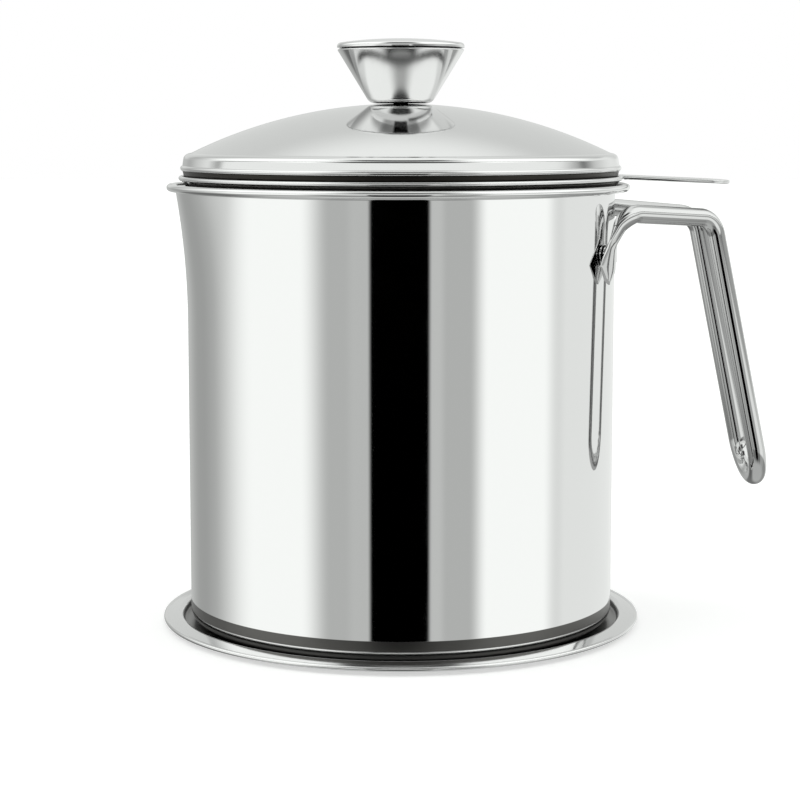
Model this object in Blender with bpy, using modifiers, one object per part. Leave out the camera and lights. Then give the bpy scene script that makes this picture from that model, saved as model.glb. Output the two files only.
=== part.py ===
"""A lidded steel pot that strains and keeps kitchen fat.

The pot stands in a shallow tray. A strainer hangs in the pot's mouth and a lid
with a hollow knob closes it. The origin is on the table, on the pot's axis.
+Z is up and +X points to the handle. The pour lip is at -X.
"""
import math

import bmesh
import bpy
from mathutils import Matrix, Vector

MM = 0.001

# Fits and mesh fineness
SEAT_GAP = 0.3 * MM
MERGE_DISTANCE = 0.01 * MM
TURN_STEPS = 48
KNOB_STEPS = 32
ROUND_STEPS = 4
SHARP_ANGLE = math.radians(35)

# Tray
TRAY_FLANGE_WIDTH = 7.6 * MM
TRAY_SHEET = 0.6 * MM
TRAY_HEM_RADIUS = 0.6 * MM
TRAY_WELL_CLEARANCE = 1.8 * MM
TRAY_WELL_DEPTH = 2.3 * MM
TRAY_WELL_CORNER = 0.9 * MM
TRAY_FLANGE_FALL = 1.0 * MM
TRAY_WALL_LEAN = 0.5 * MM

# Pot
POT_RIM_RADIUS = 62.5 * MM
POT_RIM_OVERHANG = 4.1 * MM
POT_HEIGHT = 120.0 * MM
POT_SHEET = 0.6 * MM
POT_FOOT_CORNER = 3.0 * MM
POT_BEAD_RADIUS = 1.0 * MM
POT_RIM_CORNER = 1.2 * MM
POT_RIM_RISE = 0.6 * MM
POT_WALL_RINGS = 5

# Pour lip, pressed out of the top of the wall at -X
LIP_WALL_REACH = 3.2 * MM
LIP_RIM_REACH = 1.3 * MM
LIP_DEPTH = 36.0 * MM
LIP_HALF_ANGLE = math.radians(34)

# Strainer
STRAINER_RIM_INSET = 2.0 * MM
STRAINER_SHEET = 0.5 * MM
STRAINER_BEAD_RADIUS = 0.65 * MM
STRAINER_RIM_LIFT = 1.5 * MM
STRAINER_WALL_CLEARANCE = 0.65 * MM
STRAINER_DEPTH = 22.0 * MM
STRAINER_FOOT_WIDTH = 5.5 * MM
STRAINER_FOOT_CORNER = 1.0 * MM
MESH_PITCH = 8.0 * MM
MESH_WIRE = 0.9 * MM
MESH_MARGIN = 2.0 * MM
CLAMP_HEIGHT = 1.0 * MM
CLAMP_MARGIN = 1.3 * MM

# Strainer tab
TAB_LENGTH = 30.6 * MM
TAB_WIDTH = 19.0 * MM
TAB_SHEET = 1.0 * MM
TAB_DROOP = 1.4 * MM
TAB_TIP_CORNER = 7.0 * MM
TAB_EDGE_ROUND = 0.25 * MM

# Lid
LID_INSET = 0.5 * MM
LID_SHEET = 0.6 * MM
LID_HEM_RADIUS = 0.75 * MM
LID_HEM_LIFT = 1.3 * MM
LID_CREASE_INSET = 3.1 * MM
LID_CREASE_LIFT = 3.8 * MM
LID_SHOULDER_INSET = 1.3 * MM
LID_SHOULDER_LIFT = 3.4 * MM
LID_SHOULDER_ROUND = 1.4 * MM
LID_CREASE_ROUND = 1.2 * MM
LID_DOME_SPHERE = 129.0 * MM
LID_DOME_RINGS = 5
LID_SEAT_DEPTH = 3.8 * MM

# Knob
KNOB_TOP_RADIUS = 17.3 * MM
KNOB_FOOT_RADIUS = 8.2 * MM
KNOB_CONE_HEIGHT = 14.4 * MM
KNOB_FOOT_ROUND = 4.5 * MM
KNOB_SHEET = 0.7 * MM
KNOB_CAP_CROWN = 1.9 * MM
KNOB_CAP_RIM = 0.9 * MM
KNOB_CAP_ROUND = 0.6 * MM
INSERT_RADIUS = 4.5 * MM
INSERT_HEIGHT = 9.0 * MM
SCREW_RADIUS = 2.0 * MM
SCREW_HEAD_RADIUS = 4.0 * MM
SCREW_HEAD_HEIGHT = 2.2 * MM
SCREW_HEAD_ROUND = 0.8 * MM
SCREW_REACH = 7.0 * MM
SCREW_SLOT_WIDTH = 1.0 * MM
SCREW_SLOT_DEPTH = 1.0 * MM
WASHER_RADIUS = 5.5 * MM
WASHER_SHEET = 0.8 * MM

# Handle bracket, a thin strip bent round the wall
BRACKET_SHEET = 0.5 * MM
BRACKET_HALF_ANGLE = math.radians(31)
BRACKET_END_ANGLE = math.radians(3)
BRACKET_DROP = 18.4 * MM
BRACKET_HALF_HEIGHT = 2.8 * MM
BRACKET_TIP_HALF_HEIGHT = 0.6 * MM
BRACKET_COLUMNS = 36

# Handle rod: angles count from +X and rises from the bracket's middle
ROD_RADIUS = 2.5 * MM
ROD_TIP_ANGLE = math.radians(32)
ROD_TIP_RISE = -7.4 * MM
ROD_NECK_ANGLE = math.radians(27)
ROD_NECK_RISE = 3.1 * MM
ROD_NECK_BEND = 6.0 * MM
ROD_LEAVE_ANGLE = math.radians(24)
ROD_LEAVE_RISE = 11.0 * MM
ROD_LEAVE_STANDOFF = 4.2 * MM
ROD_LEAVE_BEND = 6.0 * MM
GRIP_STANDOFF = 26.5 * MM
GRIP_RISE = 8.9 * MM
GRIP_DROP = 73.2 * MM
GRIP_SPLAY = math.radians(11.8)
GRIP_HALF_SPACING = 9.9 * MM
GRIP_BEND = 6.0 * MM
GRIP_TURN_SHARE = 0.98

# Leaf that each end of the rod is pressed to: lengths count along the rod from its tip
LEAF_SHEET = 1.2 * MM
LEAF_HALF_WIDTH = 7.0 * MM
LEAF_TIP_HALF_WIDTH = 0.8 * MM
LEAF_POINT_LENGTH = 4.3 * MM
LEAF_TAPER_LENGTH = 10.0 * MM
LEAF_FLAT_LENGTH = 9.0 * MM
LEAF_SWELL_LENGTH = 11.0 * MM
ROD_BEND_STEPS = 5
ROD_TURN_STEPS = 7
ROD_END_STEPS = 3

# Levels and radii that follow from the sizes above
POT_WALL_RADIUS = POT_RIM_RADIUS - POT_RIM_OVERHANG
TRAY_RADIUS = POT_WALL_RADIUS + TRAY_FLANGE_WIDTH
STRAINER_RIM_RADIUS = POT_RIM_RADIUS - STRAINER_RIM_INSET
LID_RADIUS = STRAINER_RIM_RADIUS - LID_INSET
LID_CREASE_RADIUS = LID_RADIUS - LID_CREASE_INSET
LID_SHOULDER_RADIUS = LID_RADIUS - LID_SHOULDER_INSET
POT_BOTTOM = TRAY_SHEET + SEAT_GAP
POT_CROWN = POT_BOTTOM + POT_HEIGHT
POT_MIDWALL = POT_WALL_RADIUS - POT_SHEET / 2
POT_BEAD = Vector((POT_RIM_RADIUS - POT_BEAD_RADIUS, 0, POT_CROWN - POT_BEAD_RADIUS))
STRAINER_BEAD = Vector(
    (STRAINER_RIM_RADIUS - STRAINER_BEAD_RADIUS, 0, POT_CROWN + STRAINER_RIM_LIFT)
)
STRAINER_TOP = STRAINER_BEAD.z + STRAINER_BEAD_RADIUS
STRAINER_OUTER = POT_WALL_RADIUS - POT_SHEET - STRAINER_WALL_CLEARANCE
STRAINER_MIDWALL = STRAINER_OUTER - STRAINER_SHEET / 2
STRAINER_FLOOR = STRAINER_TOP - STRAINER_DEPTH
FOOT_INNER = STRAINER_OUTER - STRAINER_FOOT_WIDTH
MESH_BOTTOM = STRAINER_FLOOR + STRAINER_SHEET + SEAT_GAP
MESH_RADIUS = FOOT_INNER + STRAINER_FOOT_WIDTH - MESH_MARGIN
TAB_REACH = STRAINER_RIM_RADIUS + TAB_LENGTH
LID_HEM = Vector(
    (LID_RADIUS - LID_HEM_RADIUS, 0, STRAINER_TOP + LID_HEM_LIFT + LID_HEM_RADIUS)
)
BRACKET_HEIGHT = POT_CROWN - BRACKET_DROP
BRACKET_INNER = POT_WALL_RADIUS + SEAT_GAP
BRACKET_OUTER = BRACKET_INNER + BRACKET_SHEET
ROD_SEAT = BRACKET_OUTER + SEAT_GAP
GRIP_REACH = POT_WALL_RADIUS + GRIP_STANDOFF
GRIP_TOP = BRACKET_HEIGHT + GRIP_RISE
GRIP_BOTTOM = GRIP_TOP - GRIP_DROP
SCREW_HOLE_RADIUS = SCREW_RADIUS + SEAT_GAP


def clear_scene():
    for scene_object in list(bpy.data.objects):
        bpy.data.objects.remove(scene_object, do_unlink=True)


def new_collection(name):
    collection = bpy.data.collections.new(name)
    bpy.context.scene.collection.children.link(collection)
    return collection


def steel(name, colour, roughness):
    """A bare stainless finish: the colour is linear and the metallic value is one."""
    material = bpy.data.materials.new(name)
    material.use_nodes = True
    shader = material.node_tree.nodes["Principled BSDF"]
    shader.inputs["Base Color"].default_value = (*colour, 1.0)
    shader.inputs["Metallic"].default_value = 1.0
    shader.inputs["Roughness"].default_value = roughness
    return material


def add_object(name, mesh, collection, material=None):
    new_object = bpy.data.objects.new(name, mesh)
    collection.objects.link(new_object)
    if material:
        mesh.materials.append(material)
    return new_object


def as_mesh(source, name, collection, material):
    """Turn an object with modifiers, or a curve, into one plain welded mesh object."""
    depsgraph = bpy.context.evaluated_depsgraph_get()
    evaluated = source.evaluated_get(depsgraph)
    mesh = bpy.data.meshes.new_from_object(evaluated, depsgraph=depsgraph)
    mesh.transform(source.matrix_world)
    bpy.data.objects.remove(source, do_unlink=True)
    cage = bmesh.new()
    cage.from_mesh(mesh)
    bmesh.ops.remove_doubles(cage, verts=cage.verts, dist=MERGE_DISTANCE)
    cage.to_mesh(mesh)
    cage.free()
    mesh.materials.clear()
    mesh.name = name
    mesh.shade_smooth()
    mesh.set_sharp_from_angle(angle=SHARP_ANGLE)
    return add_object(name, mesh, collection, material)


def point(radius, height):
    """A point of a turned profile, in the XZ plane."""
    return Vector((radius, 0, height))


def around(radius, angle, height):
    """A point at an angle round the pot's axis, counted from +X."""
    return Vector((radius * math.cos(angle), radius * math.sin(angle), height))


def filleted(corners, steps=ROUND_STEPS):
    """A path through (point, radius) corners, with each corner of a radius made an arc."""
    path = [corners[0][0]]
    for (before, _), (corner, radius), (after, _) in zip(corners, corners[1:], corners[2:]):
        if not radius:
            path.append(corner)
            continue
        back = (before - corner).normalized()
        ahead = (after - corner).normalized()
        half_angle = back.angle(ahead) / 2
        centre = corner + (back + ahead).normalized() * (radius / math.sin(half_angle))
        start = corner + back * (radius / math.tan(half_angle)) - centre
        end = corner + ahead * (radius / math.tan(half_angle)) - centre
        sweep = start.angle(end)
        for step in range(steps + 1):
            turned_by = sweep * step / steps
            weight_end = math.sin(turned_by) / math.sin(sweep)
            weight_start = math.sin(sweep - turned_by) / math.sin(sweep)
            path.append(centre + start * weight_start + end * weight_end)
    path.append(corners[-1][0])
    return path


def left_of(direction):
    return Vector((-direction.z, 0, direction.x))


def beside(path, distance):
    """A profile path moved sideways, to its left for a positive distance."""
    directions = [(b - a).normalized() for a, b in zip(path, path[1:])]
    moved = []
    for index, place in enumerate(path):
        arriving = left_of(directions[max(index - 1, 0)])
        leaving = left_of(directions[min(index, len(directions) - 1)])
        mitre = (arriving + leaving) / (1 + arriving.dot(leaving))
        moved.append(place + mitre * distance)
    return moved


def bead_arc(centre, radius, back, half_sheet, steps):
    """The round edge of a sheet that comes from the direction back, right side first."""
    neck = math.asin(half_sheet / radius)
    right = -left_of(-back)
    arc = []
    for step in range(steps + 1):
        angle = neck + (2 * math.pi - 2 * neck) * step / steps
        arc.append(centre + (back * math.cos(angle) + right * math.sin(angle)) * radius)
    return arc


def beaded_sheet(path, sheet, bead_radius, steps=7):
    """The outline of a sheet along a path whose last point is its bead's centre."""
    back = (path[-2] - path[-1]).normalized()
    right_side = beside(path, -sheet / 2)[:-1]
    left_side = beside(path, sheet / 2)[:-1]
    arc = bead_arc(path[-1], bead_radius, back, sheet / 2, steps)
    return right_side + arc + left_side[::-1]


def plain_sheet(path, sheet):
    """The outline of a sheet along a path, cut square at both ends."""
    return beside(path, -sheet / 2) + beside(path, sheet / 2)[::-1]


def runs_anticlockwise(outline):
    area = 0.0
    for a, b in zip(outline, outline[1:] + outline[:1]):
        area += a.x * b.z - b.x * a.z
    return area > 0


def turned(name, outline, steps, collection, material):
    """Turn an outline round Z. It is a closed ring unless both its ends are on the axis."""
    if runs_anticlockwise(outline):
        outline = outline[::-1]
    on_axis = outline[0].x < MERGE_DISTANCE and outline[-1].x < MERGE_DISTANCE
    count = len(outline)
    edges = [(i, i + 1) for i in range(count - 1)]
    if not on_axis:
        edges.append((count - 1, 0))
    mesh = bpy.data.meshes.new(name)
    mesh.from_pydata(outline, edges, [])
    profile = add_object(name + "_profile", mesh, collection)
    screw = profile.modifiers.new("Turn", "SCREW")
    screw.axis = "Z"
    screw.angle = 2 * math.pi
    screw.steps = steps
    screw.render_steps = steps
    screw.use_merge_vertices = True
    screw.merge_threshold = MERGE_DISTANCE
    return as_mesh(profile, name, collection, material)


def fade(share):
    """A smooth step from 0 to 1 as share goes from 0 to 1."""
    share = min(max(share, 0.0), 1.0)
    return share * share * (3 - 2 * share)


def tray_path():
    """The tray's sheet from its centre, up the well's wall and down the flange."""
    middle = TRAY_SHEET / 2
    well_radius = POT_WALL_RADIUS + TRAY_WELL_CLEARANCE + middle
    flange_radius = well_radius + TRAY_WALL_LEAN
    flange_height = middle + TRAY_WELL_DEPTH
    hem_radius = TRAY_RADIUS - TRAY_HEM_RADIUS
    return filleted(
        [
            (point(0, middle), 0),
            (point(well_radius, middle), TRAY_WELL_CORNER),
            (point(flange_radius, flange_height), TRAY_WELL_CORNER),
            (point(hem_radius, flange_height - TRAY_FLANGE_FALL), 0),
        ],
        steps=2,
    )


def make_tray(collection, material):
    outline = beaded_sheet(tray_path(), TRAY_SHEET, TRAY_HEM_RADIUS, steps=6)
    return turned("base_tray", outline, TURN_STEPS, collection, material)


def pot_path():
    """The pot's sheet from its centre, up the wall and out to the rolled bead."""
    floor = POT_BOTTOM + POT_SHEET / 2
    mouth = POT_BEAD.z - POT_RIM_RISE
    lip_start = mouth - LIP_DEPTH
    corners = [
        (point(0, floor), 0),
        (point(POT_MIDWALL, floor), POT_FOOT_CORNER),
    ]
    for ring in range(POT_WALL_RINGS):
        height = lip_start + (LIP_DEPTH - 2 * POT_RIM_CORNER) * ring / (POT_WALL_RINGS - 1)
        corners.append((point(POT_MIDWALL, height), 0))
    corners.append((point(POT_MIDWALL, mouth), POT_RIM_CORNER))
    corners.append((POT_BEAD, 0))
    return filleted(corners)


def press_lip(mesh):
    """Push the top of the wall and the rim out at -X into a shallow pour lip."""
    mouth = POT_BEAD.z - POT_RIM_RISE
    rim_width = POT_BEAD.x - POT_MIDWALL
    for vertex in mesh.vertices:
        place = vertex.co
        radius = math.hypot(place.x, place.y)
        depth_share = 1 - (mouth - place.z) / LIP_DEPTH
        angle = math.atan2(abs(place.y), -place.x)
        if depth_share <= 0 or angle >= LIP_HALF_ANGLE:
            continue
        on_rim = min(max((radius - POT_MIDWALL) / rim_width, 0.0), 1.0)
        reach = LIP_WALL_REACH + (LIP_RIM_REACH - LIP_WALL_REACH) * on_rim
        across = math.cos(angle / LIP_HALF_ANGLE * math.pi / 2) ** 2
        push = reach * across * min(depth_share, 1.0) ** 2
        place.x *= (radius + push) / radius
        place.y *= (radius + push) / radius


def make_pot(collection, material):
    outline = beaded_sheet(pot_path(), POT_SHEET, POT_BEAD_RADIUS)
    pot = turned("pot_body", outline, TURN_STEPS, collection, material)
    press_lip(pot.data)
    return pot


def strainer_shoulder():
    """Where the strainer's cone, which rests in the pot's mouth, turns into its wall.

    The pot's rounded mouth is an arc about mouth_centre. The cone's middle runs from
    the rim's bead past that arc, one seat gap and half a sheet away from its surface.
    """
    mouth_centre = point(POT_MIDWALL + POT_RIM_CORNER, POT_BEAD.z - POT_RIM_RISE - POT_RIM_CORNER)
    away = POT_RIM_CORNER + POT_SHEET / 2 + SEAT_GAP + STRAINER_SHEET / 2
    to_bead = STRAINER_BEAD - mouth_centre
    bead_angle = math.atan2(to_bead.z, to_bead.x)
    touch_angle = bead_angle + math.acos(away / to_bead.length)
    touch = mouth_centre + point(math.cos(touch_angle), math.sin(touch_angle)) * away
    slope = (touch - STRAINER_BEAD).normalized()
    run = (STRAINER_MIDWALL - STRAINER_BEAD.x) / slope.x
    return STRAINER_BEAD + slope * run


def strainer_path():
    """The strainer's sheet from the foot's inner edge, up the wall to the bead."""
    foot = STRAINER_FLOOR + STRAINER_SHEET / 2
    return filleted(
        [
            (point(FOOT_INNER, foot), 0),
            (point(STRAINER_MIDWALL, foot), STRAINER_FOOT_CORNER),
            (strainer_shoulder(), 0),
            (STRAINER_BEAD, 0),
        ],
        steps=3,
    )


def make_strainer_rim(collection, material):
    outline = beaded_sheet(strainer_path(), STRAINER_SHEET, STRAINER_BEAD_RADIUS, steps=6)
    return turned("strainer_rim", outline, TURN_STEPS, collection, material)


def make_strainer_mesh(collection, cutters, material):
    """A square net of wires, trimmed round where the clamp ring holds it."""
    cells = 2 * math.ceil(MESH_RADIUS / MESH_PITCH) + 1
    cage = bmesh.new()
    bmesh.ops.create_grid(cage, x_segments=cells, y_segments=cells, size=cells * MESH_PITCH / 2)
    mesh = bpy.data.meshes.new("net")
    cage.to_mesh(mesh)
    cage.free()
    net = add_object("strainer_net", mesh, collection)
    net.location.z = MESH_BOTTOM + MESH_WIRE / 2
    wires = net.modifiers.new("Wires", "WIREFRAME")
    wires.thickness = MESH_WIRE
    wires.use_even_offset = True
    wires.use_boundary = True

    disc = bmesh.new()
    bmesh.ops.create_cone(
        disc,
        cap_ends=True,
        segments=TURN_STEPS,
        radius1=MESH_RADIUS,
        radius2=MESH_RADIUS,
        depth=MESH_WIRE * 3,
    )
    disc_mesh = bpy.data.meshes.new("net_trim")
    disc.to_mesh(disc_mesh)
    disc.free()
    trim = add_object("net_trim", disc_mesh, cutters)
    trim.location.z = net.location.z
    trim.hide_render = True
    trim.display_type = "WIRE"
    cut = net.modifiers.new("Trim", "BOOLEAN")
    cut.operation = "INTERSECT"
    cut.solver = "EXACT"
    cut.object = trim
    bpy.context.view_layer.update()
    return as_mesh(net, "strainer_mesh", collection, material)


def make_clamp_ring(collection, material):
    """A flat ring that holds the net's edge down on the strainer's foot."""
    bottom = MESH_BOTTOM + MESH_WIRE + SEAT_GAP
    inner = FOOT_INNER
    outer = inner + STRAINER_FOOT_WIDTH - CLAMP_MARGIN
    top = bottom + CLAMP_HEIGHT
    outline = [point(inner, bottom), point(outer, bottom), point(outer, top), point(inner, top)]
    return turned("strainer_clamp_ring", outline, TURN_STEPS, collection, material)


def tab_outline():
    """The tab seen from above: its root follows the rim and its tip has round corners."""
    root_radius = STRAINER_RIM_RADIUS + SEAT_GAP
    half_width = TAB_WIDTH / 2
    half_angle = math.asin(half_width / root_radius)
    root = [around(root_radius, half_angle * (1 - step / 3), 0) for step in range(7)]
    tip = filleted(
        [
            (root[-1], 0),
            (Vector((TAB_REACH, -half_width, 0)), TAB_TIP_CORNER),
            (Vector((TAB_REACH, half_width, 0)), TAB_TIP_CORNER),
            (root[0], 0),
        ]
    )
    return root + tip[1:-1]


def make_strainer_tab(collection, material):
    root_radius = STRAINER_RIM_RADIUS + SEAT_GAP
    length = TAB_REACH - root_radius
    mesh = bpy.data.meshes.new("tab")
    outline = tab_outline()
    for place in outline:
        place.z = STRAINER_BEAD.z - TAB_DROOP * (place.x - root_radius) / length
    mesh.from_pydata(outline, [], [list(range(len(outline)))])
    tab = add_object("tab_sheet", mesh, collection)
    sheet = tab.modifiers.new("Sheet", "SOLIDIFY")
    sheet.thickness = TAB_SHEET
    sheet.offset = 0
    rounding = tab.modifiers.new("Round", "BEVEL")
    rounding.width = TAB_EDGE_ROUND
    rounding.segments = 1
    rounding.limit_method = "ANGLE"
    return as_mesh(tab, "strainer_tab", collection, material)


def lid_dome_height(radius):
    """The height of the dome's middle at a radius: a sphere that meets the crease."""
    crease = LID_HEM.z + LID_CREASE_LIFT
    centre = crease - math.sqrt(LID_DOME_SPHERE**2 - LID_CREASE_RADIUS**2)
    return centre + math.sqrt(LID_DOME_SPHERE**2 - radius**2)


def lid_top_path():
    """The lid's sheet from the screw hole out over the dome, crease and shoulder."""
    corners = []
    for ring in range(LID_DOME_RINGS):
        share = ring / LID_DOME_RINGS
        radius = SCREW_HOLE_RADIUS + (LID_CREASE_RADIUS - SCREW_HOLE_RADIUS) * share
        corners.append((point(radius, lid_dome_height(radius)), 0))
    crease = point(LID_CREASE_RADIUS, LID_HEM.z + LID_CREASE_LIFT)
    shoulder = point(LID_SHOULDER_RADIUS, LID_HEM.z + LID_SHOULDER_LIFT)
    corners.append((crease, LID_CREASE_ROUND))
    corners.append((shoulder, LID_SHOULDER_ROUND))
    corners.append((LID_HEM, 0))
    return filleted(corners, steps=2)


def lid_seat_path():
    """The folded sheet under the hem, which rests in the strainer's cone."""
    away = STRAINER_BEAD_RADIUS + SEAT_GAP + LID_SHEET / 2
    cone = [STRAINER_BEAD, strainer_shoulder()]
    seat, corner = beside(cone, -away)
    seat_end = LID_HEM.z - LID_SEAT_DEPTH
    return [seat, seat.lerp(corner, (seat.z - seat_end) / (seat.z - corner.z))]


def hem_arc(start_back, end_ahead, steps):
    """The bulge of the hem's fold, from the top sheet's outer side to the lower sheet's."""
    neck = math.asin(LID_SHEET / 2 / LID_HEM_RADIUS)
    first = math.atan2(start_back.z, start_back.x) - neck
    last = math.atan2(end_ahead.z, end_ahead.x) + neck
    arc = []
    for step in range(steps + 1):
        angle = first + (last - first) * step / steps
        arc.append(LID_HEM + point(math.cos(angle), math.sin(angle)) * LID_HEM_RADIUS)
    return arc


def make_lid(collection, material):
    top = lid_top_path()
    seat = lid_seat_path()
    whole = top + seat
    half = LID_SHEET / 2
    outer_top = beside(top, half)[:-1]
    outer_seat = beside([LID_HEM] + seat, half)[1:]
    back = (top[-2] - LID_HEM).normalized()
    ahead = (seat[0] - LID_HEM).normalized()
    outer = outer_top + hem_arc(back, ahead, 4) + outer_seat
    outline = outer + beside(whole, -half)[::-1]
    return turned("lid_shell", outline, TURN_STEPS, collection, material)


def knob_levels():
    """The knob's foot stands one seat gap above the top of the dome."""
    foot = lid_dome_height(0) + LID_SHEET / 2 + SEAT_GAP
    return foot, foot + KNOB_CONE_HEIGHT


def make_knob_cone(collection, material):
    foot, mouth = knob_levels()
    half = KNOB_SHEET / 2
    path = filleted(
        [
            (point(SCREW_HOLE_RADIUS, foot + half), 0),
            (point(KNOB_FOOT_RADIUS, foot + half), KNOB_FOOT_ROUND),
            (point(KNOB_TOP_RADIUS - half, mouth), 0),
        ]
    )
    outline = plain_sheet(path, KNOB_SHEET)
    return turned("knob_cone", outline, KNOB_STEPS, collection, material)


def make_knob_cap(collection, material):
    """A crowned cap whose short rim stands on the cone's mouth."""
    mouth = knob_levels()[1]
    half = KNOB_SHEET / 2
    rim_foot = mouth + SEAT_GAP + half
    edge = KNOB_TOP_RADIUS - half
    shoulder = rim_foot + KNOB_CAP_RIM
    crown = shoulder + KNOB_CAP_CROWN - KNOB_CAP_RIM
    sphere = (edge**2 + (crown - shoulder) ** 2) / (2 * (crown - shoulder))
    corners = []
    for step in range(4):
        radius = edge * step / 4
        height = crown - sphere + math.sqrt(sphere**2 - radius**2)
        corners.append((point(radius, height), 0))
    corners.append((point(edge, shoulder), KNOB_CAP_ROUND))
    corners.append((point(edge, rim_foot), 0))
    outline = plain_sheet(filleted(corners, steps=3), KNOB_SHEET)
    return turned("knob_cap", outline, KNOB_STEPS, collection, material)


def make_knob_insert(collection, material):
    """The threaded boss welded inside the knob's foot."""
    bottom = knob_levels()[0] + KNOB_SHEET + SEAT_GAP
    top = bottom + INSERT_HEIGHT
    outline = [
        point(SCREW_HOLE_RADIUS, bottom),
        point(INSERT_RADIUS, bottom),
        point(INSERT_RADIUS, top),
        point(SCREW_HOLE_RADIUS, top),
    ]
    return turned("knob_insert", outline, KNOB_STEPS, collection, material)


def washer_levels():
    """The washer lies under the dome, one seat gap below it at the washer's edge."""
    top = lid_dome_height(WASHER_RADIUS) - LID_SHEET / 2 - SEAT_GAP
    return top - WASHER_SHEET, top


def make_knob_washer(collection, material):
    bottom, top = washer_levels()
    outline = [
        point(SCREW_HOLE_RADIUS, bottom),
        point(WASHER_RADIUS, bottom),
        point(WASHER_RADIUS, top),
        point(SCREW_HOLE_RADIUS, top),
    ]
    return turned("knob_washer", outline, KNOB_STEPS, collection, material)


def make_knob_screw(collection, cutters, material):
    """A pan head screw that comes up through the lid into the knob's insert."""
    head_top = washer_levels()[0] - SEAT_GAP
    head_bottom = head_top - SCREW_HEAD_HEIGHT
    tip = knob_levels()[0] + KNOB_SHEET + SEAT_GAP + SCREW_REACH
    outline = filleted(
        [
            (point(0, head_bottom), 0),
            (point(SCREW_HEAD_RADIUS, head_bottom), SCREW_HEAD_ROUND),
            (point(SCREW_HEAD_RADIUS, head_top), 0),
            (point(SCREW_RADIUS, head_top), 0),
            (point(SCREW_RADIUS, tip), 0),
            (point(0, tip), 0),
        ],
        steps=2,
    )
    screw = turned("screw_blank", outline, KNOB_STEPS, collection, None)
    slot = bmesh.new()
    bmesh.ops.create_cube(slot, size=1.0)
    slot_size = (SCREW_HEAD_RADIUS * 3, SCREW_SLOT_WIDTH, SCREW_SLOT_DEPTH * 2)
    bmesh.ops.scale(slot, vec=slot_size, verts=slot.verts)
    slot_mesh = bpy.data.meshes.new("screw_slot")
    slot.to_mesh(slot_mesh)
    slot.free()
    cutter = add_object("screw_slot", slot_mesh, cutters)
    cutter.location.z = head_bottom
    cutter.hide_render = True
    cutter.display_type = "WIRE"
    cut = screw.modifiers.new("Slot", "BOOLEAN")
    cut.operation = "DIFFERENCE"
    cut.solver = "EXACT"
    cut.object = cutter
    bpy.context.view_layer.update()
    return as_mesh(screw, "knob_screw", collection, material)


def bracket_half_height(angle):
    """Half the strip's height at an angle from +X, less toward its round ends."""
    end_share = min((BRACKET_HALF_ANGLE - abs(angle)) / BRACKET_END_ANGLE, 1.0)
    roundness = math.sqrt(max(1 - (1 - end_share) ** 2, 0.0))
    return BRACKET_TIP_HALF_HEIGHT + (BRACKET_HALF_HEIGHT - BRACKET_TIP_HALF_HEIGHT) * roundness


def make_bracket(collection, material):
    cage = bmesh.new()
    bmesh.ops.create_grid(cage, x_segments=BRACKET_COLUMNS, y_segments=2, size=1.0)
    for vertex in cage.verts:
        along, across = vertex.co.x, vertex.co.y
        angle = BRACKET_HALF_ANGLE * math.sin(along * math.pi / 2)
        height = BRACKET_HEIGHT + across * bracket_half_height(angle)
        vertex.co = around(BRACKET_INNER, angle, height)
    bmesh.ops.recalc_face_normals(cage, faces=cage.faces)
    mesh = bpy.data.meshes.new("bracket")
    cage.to_mesh(mesh)
    cage.free()
    plate = add_object("bracket_sheet", mesh, collection)
    outward = 1 if mesh.polygons[0].normal.x > 0 else -1
    sheet = plate.modifiers.new("Sheet", "SOLIDIFY")
    sheet.thickness = BRACKET_SHEET
    sheet.offset = outward
    return as_mesh(plate, "handle_bracket", collection, material)


def rod_place(radius, angle, rise):
    """A point beside the wall at -Y, at a rise from the middle of the bracket."""
    return around(radius, -angle, BRACKET_HEIGHT + rise)


def rod_route():
    """Half of the rod's middle line, at -Y, from its pressed tip to the grip's turn."""
    half_hug = (ROD_TIP_ANGLE - ROD_NECK_ANGLE) / 2
    hug_radius = (ROD_SEAT + ROD_RADIUS) / math.cos(half_hug)
    grip_bottom_reach = GRIP_REACH + (GRIP_TOP - GRIP_BOTTOM) * math.tan(GRIP_SPLAY)
    turn = GRIP_HALF_SPACING * GRIP_TURN_SHARE
    tip = rod_place(hug_radius, ROD_TIP_ANGLE, ROD_TIP_RISE)
    neck = rod_place(hug_radius, ROD_NECK_ANGLE, ROD_NECK_RISE)
    leave = rod_place(POT_WALL_RADIUS + ROD_LEAVE_STANDOFF, ROD_LEAVE_ANGLE, ROD_LEAVE_RISE)
    top = Vector((GRIP_REACH, -GRIP_HALF_SPACING, GRIP_TOP))
    bottom = Vector((grip_bottom_reach, -GRIP_HALF_SPACING, GRIP_BOTTOM))
    widest = tip + (neck - tip).normalized() * LEAF_POINT_LENGTH
    bends = filleted(
        [
            (widest, 0),
            (neck, ROD_NECK_BEND),
            (leave, ROD_LEAVE_BEND),
            (top, GRIP_BEND),
            (bottom, 0),
        ],
        steps=ROD_BEND_STEPS,
    )
    pointed = [tip.lerp(widest, step / ROD_END_STEPS) for step in range(ROD_END_STEPS)]
    tapered = [widest.lerp(bends[1], step / ROD_END_STEPS) for step in range(ROD_END_STEPS)]
    middle = Vector((bottom.x, 0, bottom.z))
    grip_turn = filleted(
        [(bends[-2], 0), (bottom, turn), (middle, 0)],
        steps=ROD_TURN_STEPS,
    )
    return pointed + tapered + bends[1:-1] + grip_turn[1:-1]


def mirrored(place):
    return Vector((place.x, -place.y, place.z))


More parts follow.
